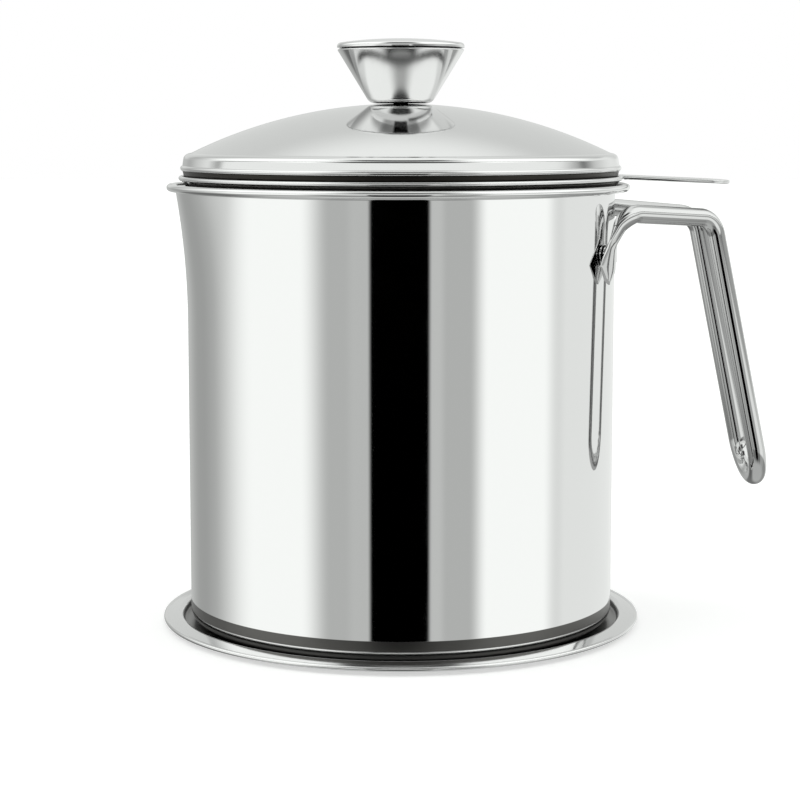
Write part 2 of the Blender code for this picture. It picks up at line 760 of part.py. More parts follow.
def leaf_form(run):
    """The rod's thickness and width at a run from its tip, as shares of the round rod."""
    swell = fade((run - LEAF_FLAT_LENGTH) / LEAF_SWELL_LENGTH)
    flat = LEAF_SHEET / (2 * ROD_RADIUS)
    if run < LEAF_POINT_LENGTH:
        point_share = run / LEAF_POINT_LENGTH
        half_width = LEAF_TIP_HALF_WIDTH + (LEAF_HALF_WIDTH - LEAF_TIP_HALF_WIDTH) * point_share
    else:
        taper = fade((run - LEAF_POINT_LENGTH) / LEAF_TAPER_LENGTH)
        half_width = LEAF_HALF_WIDTH + (ROD_RADIUS - LEAF_HALF_WIDTH) * taper
    return flat + (1 - flat) * swell, half_width / ROD_RADIUS


def press_rod_ends(mesh, half):
    """Press each end of the rod to a pointed leaf on the bracket."""
    runs = [0.0]
    for here, following in zip(half, half[1:]):
        runs.append(runs[-1] + (following - here).length)
    leaf_length = LEAF_FLAT_LENGTH + LEAF_SWELL_LENGTH
    leaf = [place for place, run in zip(half, runs) if run < leaf_length]
    for vertex in mesh.vertices:
        side = math.copysign(1, -vertex.co.y)
        place = Vector((vertex.co.x, vertex.co.y * side, vertex.co.z))
        nearest = min(range(len(half)), key=lambda index: (half[index] - place).length)
        if nearest >= len(leaf):
            continue
        thickness, width = leaf_form(runs[nearest])
        middle = math.atan2(half[nearest].y, half[nearest].x)
        angle = middle + (math.atan2(place.y, place.x) - middle) * width
        radius = ROD_SEAT + (math.hypot(place.x, place.y) - ROD_SEAT) * thickness
        vertex.co = around(radius, angle * side, place.z)


def make_rod(collection, material):
    half = rod_route()
    route = half + [mirrored(place) for place in reversed(half)]
    curve = bpy.data.curves.new("rod", "CURVE")
    curve.dimensions = "3D"
    curve.bevel_depth = ROD_RADIUS
    curve.bevel_resolution = 4
    curve.use_fill_caps = True
    spline = curve.splines.new("POLY")
    spline.points.add(len(route) - 1)
    for spline_point, place in zip(spline.points, route):
        spline_point.co = (*place, 1)
    rod = bpy.data.objects.new("rod_route", curve)
    collection.objects.link(rod)
    bpy.context.view_layer.update()
    handle = as_mesh(rod, "handle_rod", collection, material)
    press_rod_ends(handle.data, half)
    return handle


def lift_group(name, collection, members):
    """An empty on the pot's axis that lifts its members off together."""
    empty = bpy.data.objects.new(name, None)
    collection.objects.link(empty)
    for member in members:
        member.parent = empty
        member.matrix_parent_inverse = Matrix.Identity(4)
    return empty


def main():
    clear_scene()
    parts = new_collection("grease_container")
    cutters = new_collection("cutters")
    mirror = steel("mirror_steel", (0.80, 0.80, 0.81), 0.06)
    satin = steel("satin_steel", (0.72, 0.72, 0.73), 0.22)
    wire = steel("wire_steel", (0.62, 0.62, 0.63), 0.35)
    fastener = steel("fastener_steel", (0.55, 0.55, 0.56), 0.3)

    make_tray(parts, satin)
    pot = [
        make_pot(parts, mirror),
        make_bracket(parts, mirror),
        make_rod(parts, mirror),
    ]
    strainer = [
        make_strainer_rim(parts, satin),
        make_strainer_mesh(parts, cutters, wire),
        make_clamp_ring(parts, satin),
        make_strainer_tab(parts, satin),
    ]
    lid = [
        make_lid(parts, satin),
        make_knob_cone(parts, mirror),
        make_knob_cap(parts, mirror),
        make_knob_insert(parts, fastener),
        make_knob_washer(parts, fastener),
        make_knob_screw(parts, cutters, fastener),
    ]
    lid_lift = lift_group("lid_lift", parts, lid)
    strainer_lift = lift_group("strainer_lift", parts, strainer + [lid_lift])
    lift_group("pot_lift", parts, pot + [strainer_lift])


main()
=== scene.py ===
"""The finished look of the steel fat pot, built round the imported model.

Every piece is rebuilt with fine rounds from the sizes of the part, and rides on
the body of the node that it stands for. All lengths are in metres, +Z is up, +X
points to the handle and the origin is on the table, on the pot's axis.
"""

import math

import bmesh
import bpy
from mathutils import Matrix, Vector

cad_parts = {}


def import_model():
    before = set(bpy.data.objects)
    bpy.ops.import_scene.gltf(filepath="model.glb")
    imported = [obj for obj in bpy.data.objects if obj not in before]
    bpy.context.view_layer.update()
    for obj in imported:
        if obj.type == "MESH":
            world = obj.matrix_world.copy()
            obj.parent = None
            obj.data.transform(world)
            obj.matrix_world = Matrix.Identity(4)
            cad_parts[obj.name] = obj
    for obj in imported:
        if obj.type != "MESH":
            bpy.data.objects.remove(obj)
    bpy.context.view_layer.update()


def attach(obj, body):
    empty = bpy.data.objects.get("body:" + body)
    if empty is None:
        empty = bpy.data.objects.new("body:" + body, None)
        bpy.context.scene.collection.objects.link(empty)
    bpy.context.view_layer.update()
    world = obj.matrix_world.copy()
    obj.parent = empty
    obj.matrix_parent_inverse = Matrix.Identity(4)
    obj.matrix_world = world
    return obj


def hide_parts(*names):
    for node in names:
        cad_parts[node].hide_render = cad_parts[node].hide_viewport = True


MM = 0.001

# Camera, as fitted to the picture
CAMERA_AZIMUTH = math.radians(-6.0)
CAMERA_DISTANCE = 592.0 * MM
CAMERA_HEIGHT = 140.0 * MM
CAMERA_PITCH = math.radians(7.08)
CAMERA_FOCUS = 2155.0
CAMERA_CENTRE = (400.8, 380.3)
CAMERA_CLIP = (0.02, 50.0)
PICTURE_SIZE = 800.0

# Mesh fineness
TURN_STEPS = 256
KNOB_STEPS = 160
ROUND_STEPS = 10
BEAD_STEPS = 22
EDGE_STEPS = 4
MOUTH_STEPS = 5
TAB_ROOT_STEPS = 24
TAB_TIP_STEPS = 24
POLE_RADIUS = 0.001 * MM
SHARP_ANGLE = math.radians(40)
HOLD = 0.05 * MM

# Sizes of the part
SEAT_GAP = 0.3 * MM
TRAY_FLANGE_WIDTH = 7.58 * MM
TRAY_SHEET = 0.6 * MM
TRAY_HEM_RADIUS = 0.6 * MM
TRAY_WELL_CLEARANCE = 1.8 * MM
TRAY_WELL_DEPTH = 2.3 * MM
TRAY_WELL_CORNER = 0.9 * MM
TRAY_FLANGE_FALL = 1.0 * MM
TRAY_WALL_LEAN = 0.5 * MM

POT_RIM_RADIUS = 62.5 * MM
POT_RIM_OVERHANG = 4.1 * MM
POT_HEIGHT = 120.0 * MM
POT_SHEET = 0.6 * MM
POT_FOOT_CORNER = 3.0 * MM
POT_BEAD_RADIUS = 1.0 * MM
POT_RIM_CORNER = 1.2 * MM
POT_RIM_RISE = 0.6 * MM
POT_WALL_RINGS = 36
LIP_WALL_REACH = 3.2 * MM
LIP_RIM_REACH = 1.3 * MM
LIP_DEPTH = 36.0 * MM
LIP_HALF_ANGLE = math.radians(34)

STRAINER_RIM_INSET = 2.0 * MM
STRAINER_SHEET = 0.5 * MM
STRAINER_BEAD_RADIUS = 0.65 * MM
STRAINER_RIM_LIFT = 1.5 * MM
STRAINER_WALL_CLEARANCE = 0.65 * MM
STRAINER_DEPTH = 22.0 * MM
STRAINER_FOOT_WIDTH = 5.5 * MM
STRAINER_FOOT_CORNER = 1.0 * MM
MESH_WIRE = 0.9 * MM
MESH_MARGIN = 2.0 * MM
WEAVE_PITCH = 1.7 * MM
WEAVE_WIRE_RADIUS = 0.2 * MM
WEAVE_SAMPLES = 4
WEAVE_SIDES = 5
CLAMP_HEIGHT = 1.0 * MM
CLAMP_MARGIN = 1.3 * MM
CLAMP_ROUND = 0.25 * MM
TAB_LENGTH = 30.6 * MM
TAB_WIDTH = 19.0 * MM
TAB_SHEET = 1.0 * MM
TAB_DROOP = 1.4 * MM
TAB_TIP_CORNER = 7.0 * MM
TAB_EDGE_ROUND = 0.3 * MM

LID_INSET = 0.5 * MM
LID_SHEET = 0.6 * MM
LID_HEM_RADIUS = 0.75 * MM
LID_HEM_LIFT = 1.3 * MM
LID_CREASE_INSET = 3.1 * MM
LID_CREASE_LIFT = 3.8 * MM
LID_SHOULDER_INSET = 1.3 * MM
LID_SHOULDER_LIFT = 3.4 * MM
LID_SHOULDER_ROUND = 1.4 * MM
LID_CREASE_ROUND = 1.2 * MM
LID_DOME_SPHERE = 129.0 * MM
LID_DOME_RINGS = 40
LID_SEAT_DEPTH = 3.8 * MM

KNOB_TOP_RADIUS = 17.3 * MM
KNOB_FOOT_RADIUS = 8.2 * MM
KNOB_CONE_HEIGHT = 14.65 * MM
KNOB_FOOT_ROUND = 2.4 * MM
KNOB_MOUTH_ROUND = 0.25 * MM
TIGHT_GAP = 0.05 * MM
KNOB_SHEET = 0.7 * MM
KNOB_CAP_CROWN = 2.1 * MM
KNOB_CAP_RIM = 0.9 * MM
KNOB_CAP_ROUND = 0.6 * MM
KNOB_CAP_RINGS = 24
INSERT_RADIUS = 4.5 * MM
INSERT_HEIGHT = 9.0 * MM
INSERT_CHAMFER = 0.5 * MM
SCREW_RADIUS = 2.0 * MM
SCREW_HEAD_RADIUS = 4.0 * MM
SCREW_HEAD_HEIGHT = 2.2 * MM
SCREW_HEAD_ROUND = 0.8 * MM
SCREW_REACH = 7.0 * MM
SCREW_SLOT_WIDTH = 1.0 * MM
SCREW_SLOT_DEPTH = 1.0 * MM
THREAD_PITCH = 0.7 * MM
THREAD_DEPTH = 0.25 * MM
WASHER_RADIUS = 5.5 * MM
WASHER_SHEET = 0.8 * MM
WASHER_ROUND = 0.15 * MM

BRACKET_SHEET = 0.5 * MM
BRACKET_HALF_ANGLE = math.radians(31)
BRACKET_END_ANGLE = math.radians(3)
BRACKET_DROP = 18.4 * MM
BRACKET_HALF_HEIGHT = 2.8 * MM
BRACKET_TIP_HALF_HEIGHT = 0.6 * MM
BRACKET_EDGE_ROUND = 0.15 * MM
BRACKET_COLUMNS = 200

ROD_RADIUS = 2.5 * MM
ROD_TIP_ANGLE = math.radians(31.6)
ROD_TIP_RISE = -6.5 * MM
ROD_NECK_ANGLE = math.radians(27)
ROD_NECK_RISE = 3.1 * MM
ROD_NECK_BEND = 6.0 * MM
ROD_LEAVE_ANGLE = math.radians(24)
ROD_LEAVE_RISE = 11.0 * MM
ROD_LEAVE_STANDOFF = 4.2 * MM
ROD_LEAVE_BEND = 6.0 * MM
GRIP_STANDOFF = 26.5 * MM
GRIP_RISE = 8.9 * MM
GRIP_DROP = 73.2 * MM
GRIP_SPLAY = math.radians(11.73)
GRIP_HALF_SPACING = 9.9 * MM
GRIP_BEND = 6.0 * MM
GRIP_TURN_SHARE = 0.98
LEAF_SHEET = 1.2 * MM
LEAF_HALF_WIDTH = 7.0 * MM
LEAF_TIP_HALF_WIDTH = 2.2 * MM
LEAF_POINT_LENGTH = 3.4 * MM
LEAF_TAPER_LENGTH = 10.0 * MM
LEAF_FLAT_LENGTH = 9.0 * MM
LEAF_SWELL_LENGTH = 11.0 * MM
ROD_END_STEPS = 16
ROD_BEND_STEPS = 16
ROD_TURN_STEPS = 24
ROD_SECTION_STEPS = 64

# Levels and radii that follow
POT_WALL_RADIUS = POT_RIM_RADIUS - POT_RIM_OVERHANG
TRAY_RADIUS = POT_WALL_RADIUS + TRAY_FLANGE_WIDTH
STRAINER_RIM_RADIUS = POT_RIM_RADIUS - STRAINER_RIM_INSET
LID_RADIUS = STRAINER_RIM_RADIUS - LID_INSET
LID_CREASE_RADIUS = LID_RADIUS - LID_CREASE_INSET
LID_SHOULDER_RADIUS = LID_RADIUS - LID_SHOULDER_INSET
POT_BOTTOM = TRAY_SHEET + SEAT_GAP
POT_CROWN = POT_BOTTOM + POT_HEIGHT
POT_MIDWALL = POT_WALL_RADIUS - POT_SHEET / 2
POT_BEAD = Vector((POT_RIM_RADIUS - POT_BEAD_RADIUS, 0, POT_CROWN - POT_BEAD_RADIUS))
STRAINER_BEAD = Vector(
    (STRAINER_RIM_RADIUS - STRAINER_BEAD_RADIUS, 0, POT_CROWN + STRAINER_RIM_LIFT)
)
STRAINER_TOP = STRAINER_BEAD.z + STRAINER_BEAD_RADIUS
STRAINER_OUTER = POT_WALL_RADIUS - POT_SHEET - STRAINER_WALL_CLEARANCE
STRAINER_MIDWALL = STRAINER_OUTER - STRAINER_SHEET / 2
STRAINER_FLOOR = STRAINER_TOP - STRAINER_DEPTH
FOOT_INNER = STRAINER_OUTER - STRAINER_FOOT_WIDTH
MESH_BOTTOM = STRAINER_FLOOR + STRAINER_SHEET + SEAT_GAP
MESH_RADIUS = FOOT_INNER + STRAINER_FOOT_WIDTH - MESH_MARGIN
TAB_REACH = STRAINER_RIM_RADIUS + TAB_LENGTH
LID_HEM = Vector(
    (LID_RADIUS - LID_HEM_RADIUS, 0, STRAINER_TOP + LID_HEM_LIFT + LID_HEM_RADIUS)
)
BRACKET_HEIGHT = POT_CROWN - BRACKET_DROP
BRACKET_INNER = POT_WALL_RADIUS + SEAT_GAP
BRACKET_OUTER = BRACKET_INNER + BRACKET_SHEET
ROD_SEAT = BRACKET_OUTER + SEAT_GAP
GRIP_REACH = POT_WALL_RADIUS + GRIP_STANDOFF
GRIP_TOP = BRACKET_HEIGHT + GRIP_RISE
GRIP_BOTTOM = GRIP_TOP - GRIP_DROP
SCREW_HOLE_RADIUS = SCREW_RADIUS + SEAT_GAP
SCREW_SLOT_LENGTH = SCREW_HEAD_RADIUS * 3


def point(radius, height):
    """A point of a turned profile, in the XZ plane."""
    return Vector((radius, 0, height))


def around(radius, angle, height):
    """A point at an angle round the pot's axis, counted from +X."""
    return Vector((radius * math.cos(angle), radius * math.sin(angle), height))


def fade(share):
    """A smooth step from 0 to 1 as share goes from 0 to 1."""
    share = min(max(share, 0.0), 1.0)
    return share * share * (3 - 2 * share)


def filleted(corners, steps=ROUND_STEPS):
    """A path through (point, radius) corners, with each corner of a radius made an arc.

    A point just outside each end of an arc keeps the shading of the straight runs flat.
    """
    path = [corners[0][0]]
    for (before, _), (corner, radius), (after, _) in zip(corners, corners[1:], corners[2:]):
        if not radius:
            path.append(corner)
            continue
        back = (before - corner).normalized()
        ahead = (after - corner).normalized()
        half_angle = back.angle(ahead) / 2
        centre = corner + (back + ahead).normalized() * (radius / math.sin(half_angle))
        start = corner + back * (radius / math.tan(half_angle)) - centre
        end = corner + ahead * (radius / math.tan(half_angle)) - centre
        sweep = start.angle(end)
        path.append(centre + start + back * HOLD)
        for step in range(steps + 1):
            turned_by = sweep * step / steps
            weight_end = math.sin(turned_by) / math.sin(sweep)
            weight_start = math.sin(sweep - turned_by) / math.sin(sweep)
            path.append(centre + start * weight_start + end * weight_end)
        path.append(centre + end + ahead * HOLD)
    path.append(corners[-1][0])
    return path


def left_of(direction):
    return Vector((-direction.z, 0, direction.x))


def beside(path, distance):
    """A profile path moved sideways, to its left for a positive distance."""
    directions = [(b - a).normalized() for a, b in zip(path, path[1:])]
    moved = []
    for index, place in enumerate(path):
        arriving = left_of(directions[max(index - 1, 0)])
        leaving = left_of(directions[min(index, len(directions) - 1)])
        mitre = (arriving + leaving) / (1 + arriving.dot(leaving))
        moved.append(place + mitre * distance)
    return moved


def bead_arc(centre, radius, back, half_sheet, steps):
    """The round edge of a sheet that comes from the direction back, right side first."""
    neck = math.asin(half_sheet / radius)
    right = -left_of(-back)
    arc = []
    for step in range(steps + 1):
        angle = neck + (2 * math.pi - 2 * neck) * step / steps
        arc.append(centre + (back * math.cos(angle) + right * math.sin(angle)) * radius)
    return arc


def beaded_sheet(path, sheet, bead_radius, steps=BEAD_STEPS):
    """The outline of a sheet along a path whose last point is its bead's centre."""
    back = (path[-2] - path[-1]).normalized()
    right_side = beside(path, -sheet / 2)[:-1]
    left_side = beside(path, sheet / 2)[:-1]
    arc = bead_arc(path[-1], bead_radius, back, sheet / 2, steps)
    return right_side + arc + left_side[::-1]


def plain_sheet(path, sheet):
    """The outline of a sheet along a path, cut square at both ends."""
    return beside(path, -sheet / 2) + beside(path, sheet / 2)[::-1]


def finished(name, cage):
    """Make a shaded object of a bmesh and link it."""
    bmesh.ops.recalc_face_normals(cage, faces=cage.faces)
    mesh = bpy.data.meshes.new(name)
    cage.to_mesh(mesh)
    cage.free()
    mesh.shade_smooth()
    mesh.set_sharp_from_angle(angle=SHARP_ANGLE)
    piece = bpy.data.objects.new(name, mesh)
    bpy.context.scene.collection.objects.link(piece)
    return piece


def as_mesh(source, name):
    """Turn an object with modifiers, or a curve, into one plain mesh object."""
    depsgraph = bpy.context.evaluated_depsgraph_get()
    evaluated = source.evaluated_get(depsgraph)
    mesh = bpy.data.meshes.new_from_object(evaluated, depsgraph=depsgraph)
    mesh.transform(source.matrix_world)
    bpy.data.objects.remove(source, do_unlink=True)
    cage = bmesh.new()
    cage.from_mesh(mesh)
    bmesh.ops.remove_doubles(cage, verts=cage.verts, dist=POLE_RADIUS)
    bpy.data.meshes.remove(mesh)
    return finished(name, cage)


def turned(name, outline, steps=TURN_STEPS):
    """Turn an outline round Z. It is a closed ring unless both its ends are on the axis."""
    cage = bmesh.new()
    rows = []
    for place in outline:
        if place.x < POLE_RADIUS:
            rows.append([cage.verts.new((0, 0, place.z))])
            continue
        turns = [2 * math.pi * step / steps for step in range(steps)]
        rows.append([cage.verts.new(around(place.x, angle, place.z)) for angle in turns])
    pairs = list(zip(rows, rows[1:]))
    if len(rows[0]) > 1 or len(rows[-1]) > 1:
        pairs.append((rows[-1], rows[0]))
    for low, high in pairs:
        for step in range(steps):
            corners = [
                low[step % len(low)],
                low[(step + 1) % steps % len(low)],
                high[(step + 1) % steps % len(high)],
                high[step % len(high)],
            ]
            cage.faces.new(list(dict.fromkeys(corners)))
    return finished(name, cage)


def swept(name, sections):
    """Skin a row of equal closed sections and close both ends."""
    cage = bmesh.new()
    rows = [[cage.verts.new(place) for place in section] for section in sections]
    count = len(rows[0])
    for low, high in zip(rows, rows[1:]):
        for index in range(count):
            following = (index + 1) % count
            cage.faces.new((low[index], low[following], high[following], high[index]))
    cage.faces.new(rows[0][::-1])
    cage.faces.new(rows[-1])
    return finished(name, cage)


def make_tray():
    middle = TRAY_SHEET / 2
    well_radius = POT_WALL_RADIUS + TRAY_WELL_CLEARANCE + middle
    flange_radius = well_radius + TRAY_WALL_LEAN
    flange_height = middle + TRAY_WELL_DEPTH
    hem_radius = TRAY_RADIUS - TRAY_HEM_RADIUS
    path = filleted(
        [
            (point(0, middle), 0),
            (point(well_radius, middle), TRAY_WELL_CORNER),
            (point(flange_radius, flange_height), TRAY_WELL_CORNER),
            (point(hem_radius, flange_height - TRAY_FLANGE_FALL), 0),
        ]
    )
    return turned("tray_sheet", beaded_sheet(path, TRAY_SHEET, TRAY_HEM_RADIUS))


def pot_path():
    """The pot's sheet from its centre, up the wall and out to the rolled bead."""
    floor = POT_BOTTOM + POT_SHEET / 2
    mouth = POT_BEAD.z - POT_RIM_RISE
    lip_start = mouth - LIP_DEPTH
    corners = [
        (point(0, floor), 0),
        (point(POT_MIDWALL, floor), POT_FOOT_CORNER),
    ]
    for ring in range(POT_WALL_RINGS):
        height = lip_start + (LIP_DEPTH - 2 * POT_RIM_CORNER) * ring / (POT_WALL_RINGS - 1)
        corners.append((point(POT_MIDWALL, height), 0))
    corners.append((point(POT_MIDWALL, mouth), POT_RIM_CORNER))
    corners.append((POT_BEAD, 0))
    return filleted(corners)


def press_lip(mesh):
    """Push the top of the wall and the rim out at -X into a shallow pour lip."""
    mouth = POT_BEAD.z - POT_RIM_RISE
    rim_width = POT_BEAD.x - POT_MIDWALL
    for vertex in mesh.vertices:
        place = vertex.co
        radius = math.hypot(place.x, place.y)
        depth_share = 1 - (mouth - place.z) / LIP_DEPTH
        angle = math.atan2(abs(place.y), -place.x)
        if depth_share <= 0 or angle >= LIP_HALF_ANGLE:
            continue
        on_rim = min(max((radius - POT_MIDWALL) / rim_width, 0.0), 1.0)
        reach = LIP_WALL_REACH + (LIP_RIM_REACH - LIP_WALL_REACH) * on_rim
        across = math.cos(angle / LIP_HALF_ANGLE * math.pi / 2) ** 2
        push = reach * across * min(depth_share, 1.0) ** 2
        place.x *= (radius + push) / radius
        place.y *= (radius + push) / radius


def make_pot():
    pot = turned("pot_sheet", beaded_sheet(pot_path(), POT_SHEET, POT_BEAD_RADIUS))
    press_lip(pot.data)
    return pot


def strainer_shoulder():
    """Where the strainer's cone, which rests in the pot's mouth, turns into its wall."""
    mouth_centre = point(POT_MIDWALL + POT_RIM_CORNER, POT_BEAD.z - POT_RIM_RISE - POT_RIM_CORNER)
    away = POT_RIM_CORNER + POT_SHEET / 2 + SEAT_GAP + STRAINER_SHEET / 2
    to_bead = STRAINER_BEAD - mouth_centre
    bead_angle = math.atan2(to_bead.z, to_bead.x)
    touch_angle = bead_angle + math.acos(away / to_bead.length)
    touch = mouth_centre + point(math.cos(touch_angle), math.sin(touch_angle)) * away
    slope = (touch - STRAINER_BEAD).normalized()
    run = (STRAINER_MIDWALL - STRAINER_BEAD.x) / slope.x
    return STRAINER_BEAD + slope * run


def make_strainer_rim():
    foot = STRAINER_FLOOR + STRAINER_SHEET / 2
    path = filleted(
        [
            (point(FOOT_INNER, foot), 0),
            (point(STRAINER_MIDWALL, foot), STRAINER_FOOT_CORNER),
            (strainer_shoulder(), STRAINER_FOOT_CORNER),
            (STRAINER_BEAD, 0),
        ]
    )
    outline = beaded_sheet(path, STRAINER_SHEET, STRAINER_BEAD_RADIUS)
    return turned("strainer_sheet", outline)


def make_weave():
    """Crossing wires that pass over and under each other, trimmed to a disc."""
    cage = bmesh.new()
    middle = MESH_BOTTOM + MESH_WIRE / 2
    reach = MESH_RADIUS - WEAVE_WIRE_RADIUS
    wires = int(reach / WEAVE_PITCH)
    for across in range(-wires, wires + 1):
        offset = across * WEAVE_PITCH
        half_length = math.sqrt(reach**2 - offset**2)
        samples = max(int(half_length / WEAVE_PITCH * WEAVE_SAMPLES), 2)
        for along_x in (True, False):
            phase = math.pi * across + (0 if along_x else math.pi)
            rows = []
            for sample in range(-samples, samples + 1):
                run = half_length * sample / samples
                height = math.cos(math.pi * run / WEAVE_PITCH + phase) * WEAVE_WIRE_RADIUS
                row = []
                for side in range(WEAVE_SIDES):
                    angle = 2 * math.pi * side / WEAVE_SIDES
                    beside_wire = offset + WEAVE_WIRE_RADIUS * math.cos(angle)
                    above = middle + height + WEAVE_WIRE_RADIUS * math.sin(angle)
                    ahead, aside = (run, beside_wire) if along_x else (beside_wire, run)
                    row.append(cage.verts.new((ahead, aside, above)))
                rows.append(row)
            for low, high in zip(rows, rows[1:]):
                for side in range(WEAVE_SIDES):
                    following = (side + 1) % WEAVE_SIDES
                    cage.faces.new((low[side], low[following], high[following], high[side]))
            cage.faces.new(rows[0][::-1])
            cage.faces.new(rows[-1])
    return finished("strainer_weave", cage)


def round_ring(inner, outer, bottom, top, radius):
    """The outline of a flat ring with rounded edges."""
    corners = [
        point((inner + outer) / 2, bottom),
        point(outer, bottom),
        point(outer, top),
        point(inner, top),
        point(inner, bottom),
        point((inner + outer) / 2, bottom),
    ]
    rounded = [(corner, radius) for corner in corners[1:-1]]
    path = filleted([(corners[0], 0)] + rounded + [(corners[-1], 0)], steps=EDGE_STEPS)
    return path[:-1]


def make_clamp_ring():
    bottom = MESH_BOTTOM + MESH_WIRE + SEAT_GAP
    outer = FOOT_INNER + STRAINER_FOOT_WIDTH - CLAMP_MARGIN
    outline = round_ring(FOOT_INNER, outer, bottom, bottom + CLAMP_HEIGHT, CLAMP_ROUND)
    return turned("strainer_ring", outline)


def make_tab():
    """The lifting tab: its root follows the rim and its tip has round corners."""
    root_radius = STRAINER_RIM_RADIUS + SEAT_GAP
    half_width = TAB_WIDTH / 2
    half_angle = math.asin(half_width / root_radius)
    root = []
    for step in range(TAB_ROOT_STEPS + 1):
        share = 1 - 2 * step / TAB_ROOT_STEPS
        root.append(around(root_radius, half_angle * share, 0))
    tip = filleted(
        [
            (root[-1], 0),
            (Vector((TAB_REACH, -half_width, 0)), TAB_TIP_CORNER),
            (Vector((TAB_REACH, half_width, 0)), TAB_TIP_CORNER),
            (root[0], 0),
        ],
        steps=TAB_TIP_STEPS,
    )
    outline = root + tip[1:-1]
    for place in outline:
        place.z = STRAINER_BEAD.z - TAB_DROOP * (place.x - root_radius) / (TAB_REACH - root_radius)
    mesh = bpy.data.meshes.new("tab")
    mesh.from_pydata(outline, [], [list(range(len(outline)))])
    sheet = bpy.data.objects.new("tab_blank", mesh)
    bpy.context.scene.collection.objects.link(sheet)
    solid = sheet.modifiers.new("Sheet", "SOLIDIFY")
    solid.thickness = TAB_SHEET
    solid.offset = 0
    edge = sheet.modifiers.new("Edge", "BEVEL")
    edge.width = TAB_EDGE_ROUND
    edge.segments = EDGE_STEPS
    edge.limit_method = "ANGLE"
    return as_mesh(sheet, "strainer_tongue")


def lid_dome_height(radius):
    """The height of the dome's middle at a radius: a sphere that meets the crease."""
    crease = LID_HEM.z + LID_CREASE_LIFT
    centre = crease - math.sqrt(LID_DOME_SPHERE**2 - LID_CREASE_RADIUS**2)
    return centre + math.sqrt(LID_DOME_SPHERE**2 - radius**2)


def make_lid():
    """The dome, crease, shoulder and hem, and the seat folded back under the hem."""
    corners = []
    for ring in range(LID_DOME_RINGS):
        share = ring / LID_DOME_RINGS
        radius = SCREW_HOLE_RADIUS + (LID_CREASE_RADIUS - SCREW_HOLE_RADIUS) * share
        corners.append((point(radius, lid_dome_height(radius)), 0))
    crease = point(LID_CREASE_RADIUS, LID_HEM.z + LID_CREASE_LIFT)
    shoulder = point(LID_SHOULDER_RADIUS, LID_HEM.z + LID_SHOULDER_LIFT)
    corners.append((crease, LID_CREASE_ROUND))
    corners.append((shoulder, LID_SHOULDER_ROUND))
    corners.append((LID_HEM, 0))
    top = filleted(corners)

    away = STRAINER_BEAD_RADIUS + SEAT_GAP + LID_SHEET / 2
    seat, corner = beside([STRAINER_BEAD, strainer_shoulder()], -away)
    seat_end = LID_HEM.z - LID_SEAT_DEPTH
    bottom = [seat, seat.lerp(corner, (seat.z - seat_end) / (seat.z - corner.z))]

    half = LID_SHEET / 2
    outer_top = beside(top, half)[:-1]
    outer_seat = beside([LID_HEM] + bottom, half)[1:]
    back = (top[-2] - LID_HEM).normalized()
    ahead = (bottom[0] - LID_HEM).normalized()
    neck = math.asin(half / LID_HEM_RADIUS)
    first = math.atan2(back.z, back.x) - neck
    last = math.atan2(ahead.z, ahead.x) + neck
    hem = []
    for step in range(BEAD_STEPS + 1):
        angle = first + (last - first) * step / BEAD_STEPS
        hem.append(LID_HEM + point(math.cos(angle), math.sin(angle)) * LID_HEM_RADIUS)
    outline = outer_top + hem + outer_seat + beside(top + bottom, -half)[::-1]
    return turned("lid_sheet", outline)


def knob_levels():
    """The knob's foot stands right on the top of the dome."""
    foot = lid_dome_height(0) + LID_SHEET / 2 + TIGHT_GAP
    return foot, foot + KNOB_CONE_HEIGHT


def make_knob_cone():
    """A spun cone on a round foot, with the outer edge of its mouth broken."""
    foot, mouth = knob_levels()
    half = KNOB_SHEET / 2
    path = filleted(
        [
            (point(SCREW_HOLE_RADIUS, foot + half), 0),
            (point(KNOB_FOOT_RADIUS, foot + half), KNOB_FOOT_ROUND),
            (point(KNOB_TOP_RADIUS - half, mouth), 0),
        ]
    )
    outer = beside(path, -half)
    inner = beside(path, half)
    mouth_corners = [(outer[-2], 0), (outer[-1], KNOB_MOUTH_ROUND), (inner[-1], 0)]
    edge = filleted(mouth_corners, steps=MOUTH_STEPS)
    return turned("knob_bowl", outer[:-1] + edge[1:-1] + inner[::-1], KNOB_STEPS)


def make_knob_cap():
    """A crowned cap whose short rim stands on the cone's mouth."""
    half = KNOB_SHEET / 2
    rim_foot = knob_levels()[1] + TIGHT_GAP + half
    edge = KNOB_TOP_RADIUS - half
    shoulder = rim_foot + KNOB_CAP_RIM
    rise = KNOB_CAP_CROWN - KNOB_CAP_RIM
    sphere = (edge**2 + rise**2) / (2 * rise)
    corners = []
    for ring in range(KNOB_CAP_RINGS):
        radius = edge * ring / KNOB_CAP_RINGS
        height = shoulder + rise - sphere + math.sqrt(sphere**2 - radius**2)
        corners.append((point(radius, height), 0))
    corners.append((point(edge, shoulder), KNOB_CAP_ROUND))
    corners.append((point(edge, rim_foot), 0))
    return turned("knob_crown", plain_sheet(filleted(corners), KNOB_SHEET), KNOB_STEPS)


def make_knob_insert():
    bottom = knob_levels()[0] + KNOB_SHEET + SEAT_GAP
    outline = round_ring(
        SCREW_HOLE_RADIUS, INSERT_RADIUS, bottom, bottom + INSERT_HEIGHT, INSERT_CHAMFER
    )
    return turned("knob_boss", outline, KNOB_STEPS)


def washer_levels():
    """The washer lies under the dome, one seat gap below it at the washer's edge."""
    top = lid_dome_height(WASHER_RADIUS) - LID_SHEET / 2 - SEAT_GAP
    return top - WASHER_SHEET, top


def make_knob_washer():
    bottom, top = washer_levels()
    outline = round_ring(SCREW_HOLE_RADIUS, WASHER_RADIUS, bottom, top, WASHER_ROUND)
    return turned("lid_washer", outline, KNOB_STEPS)


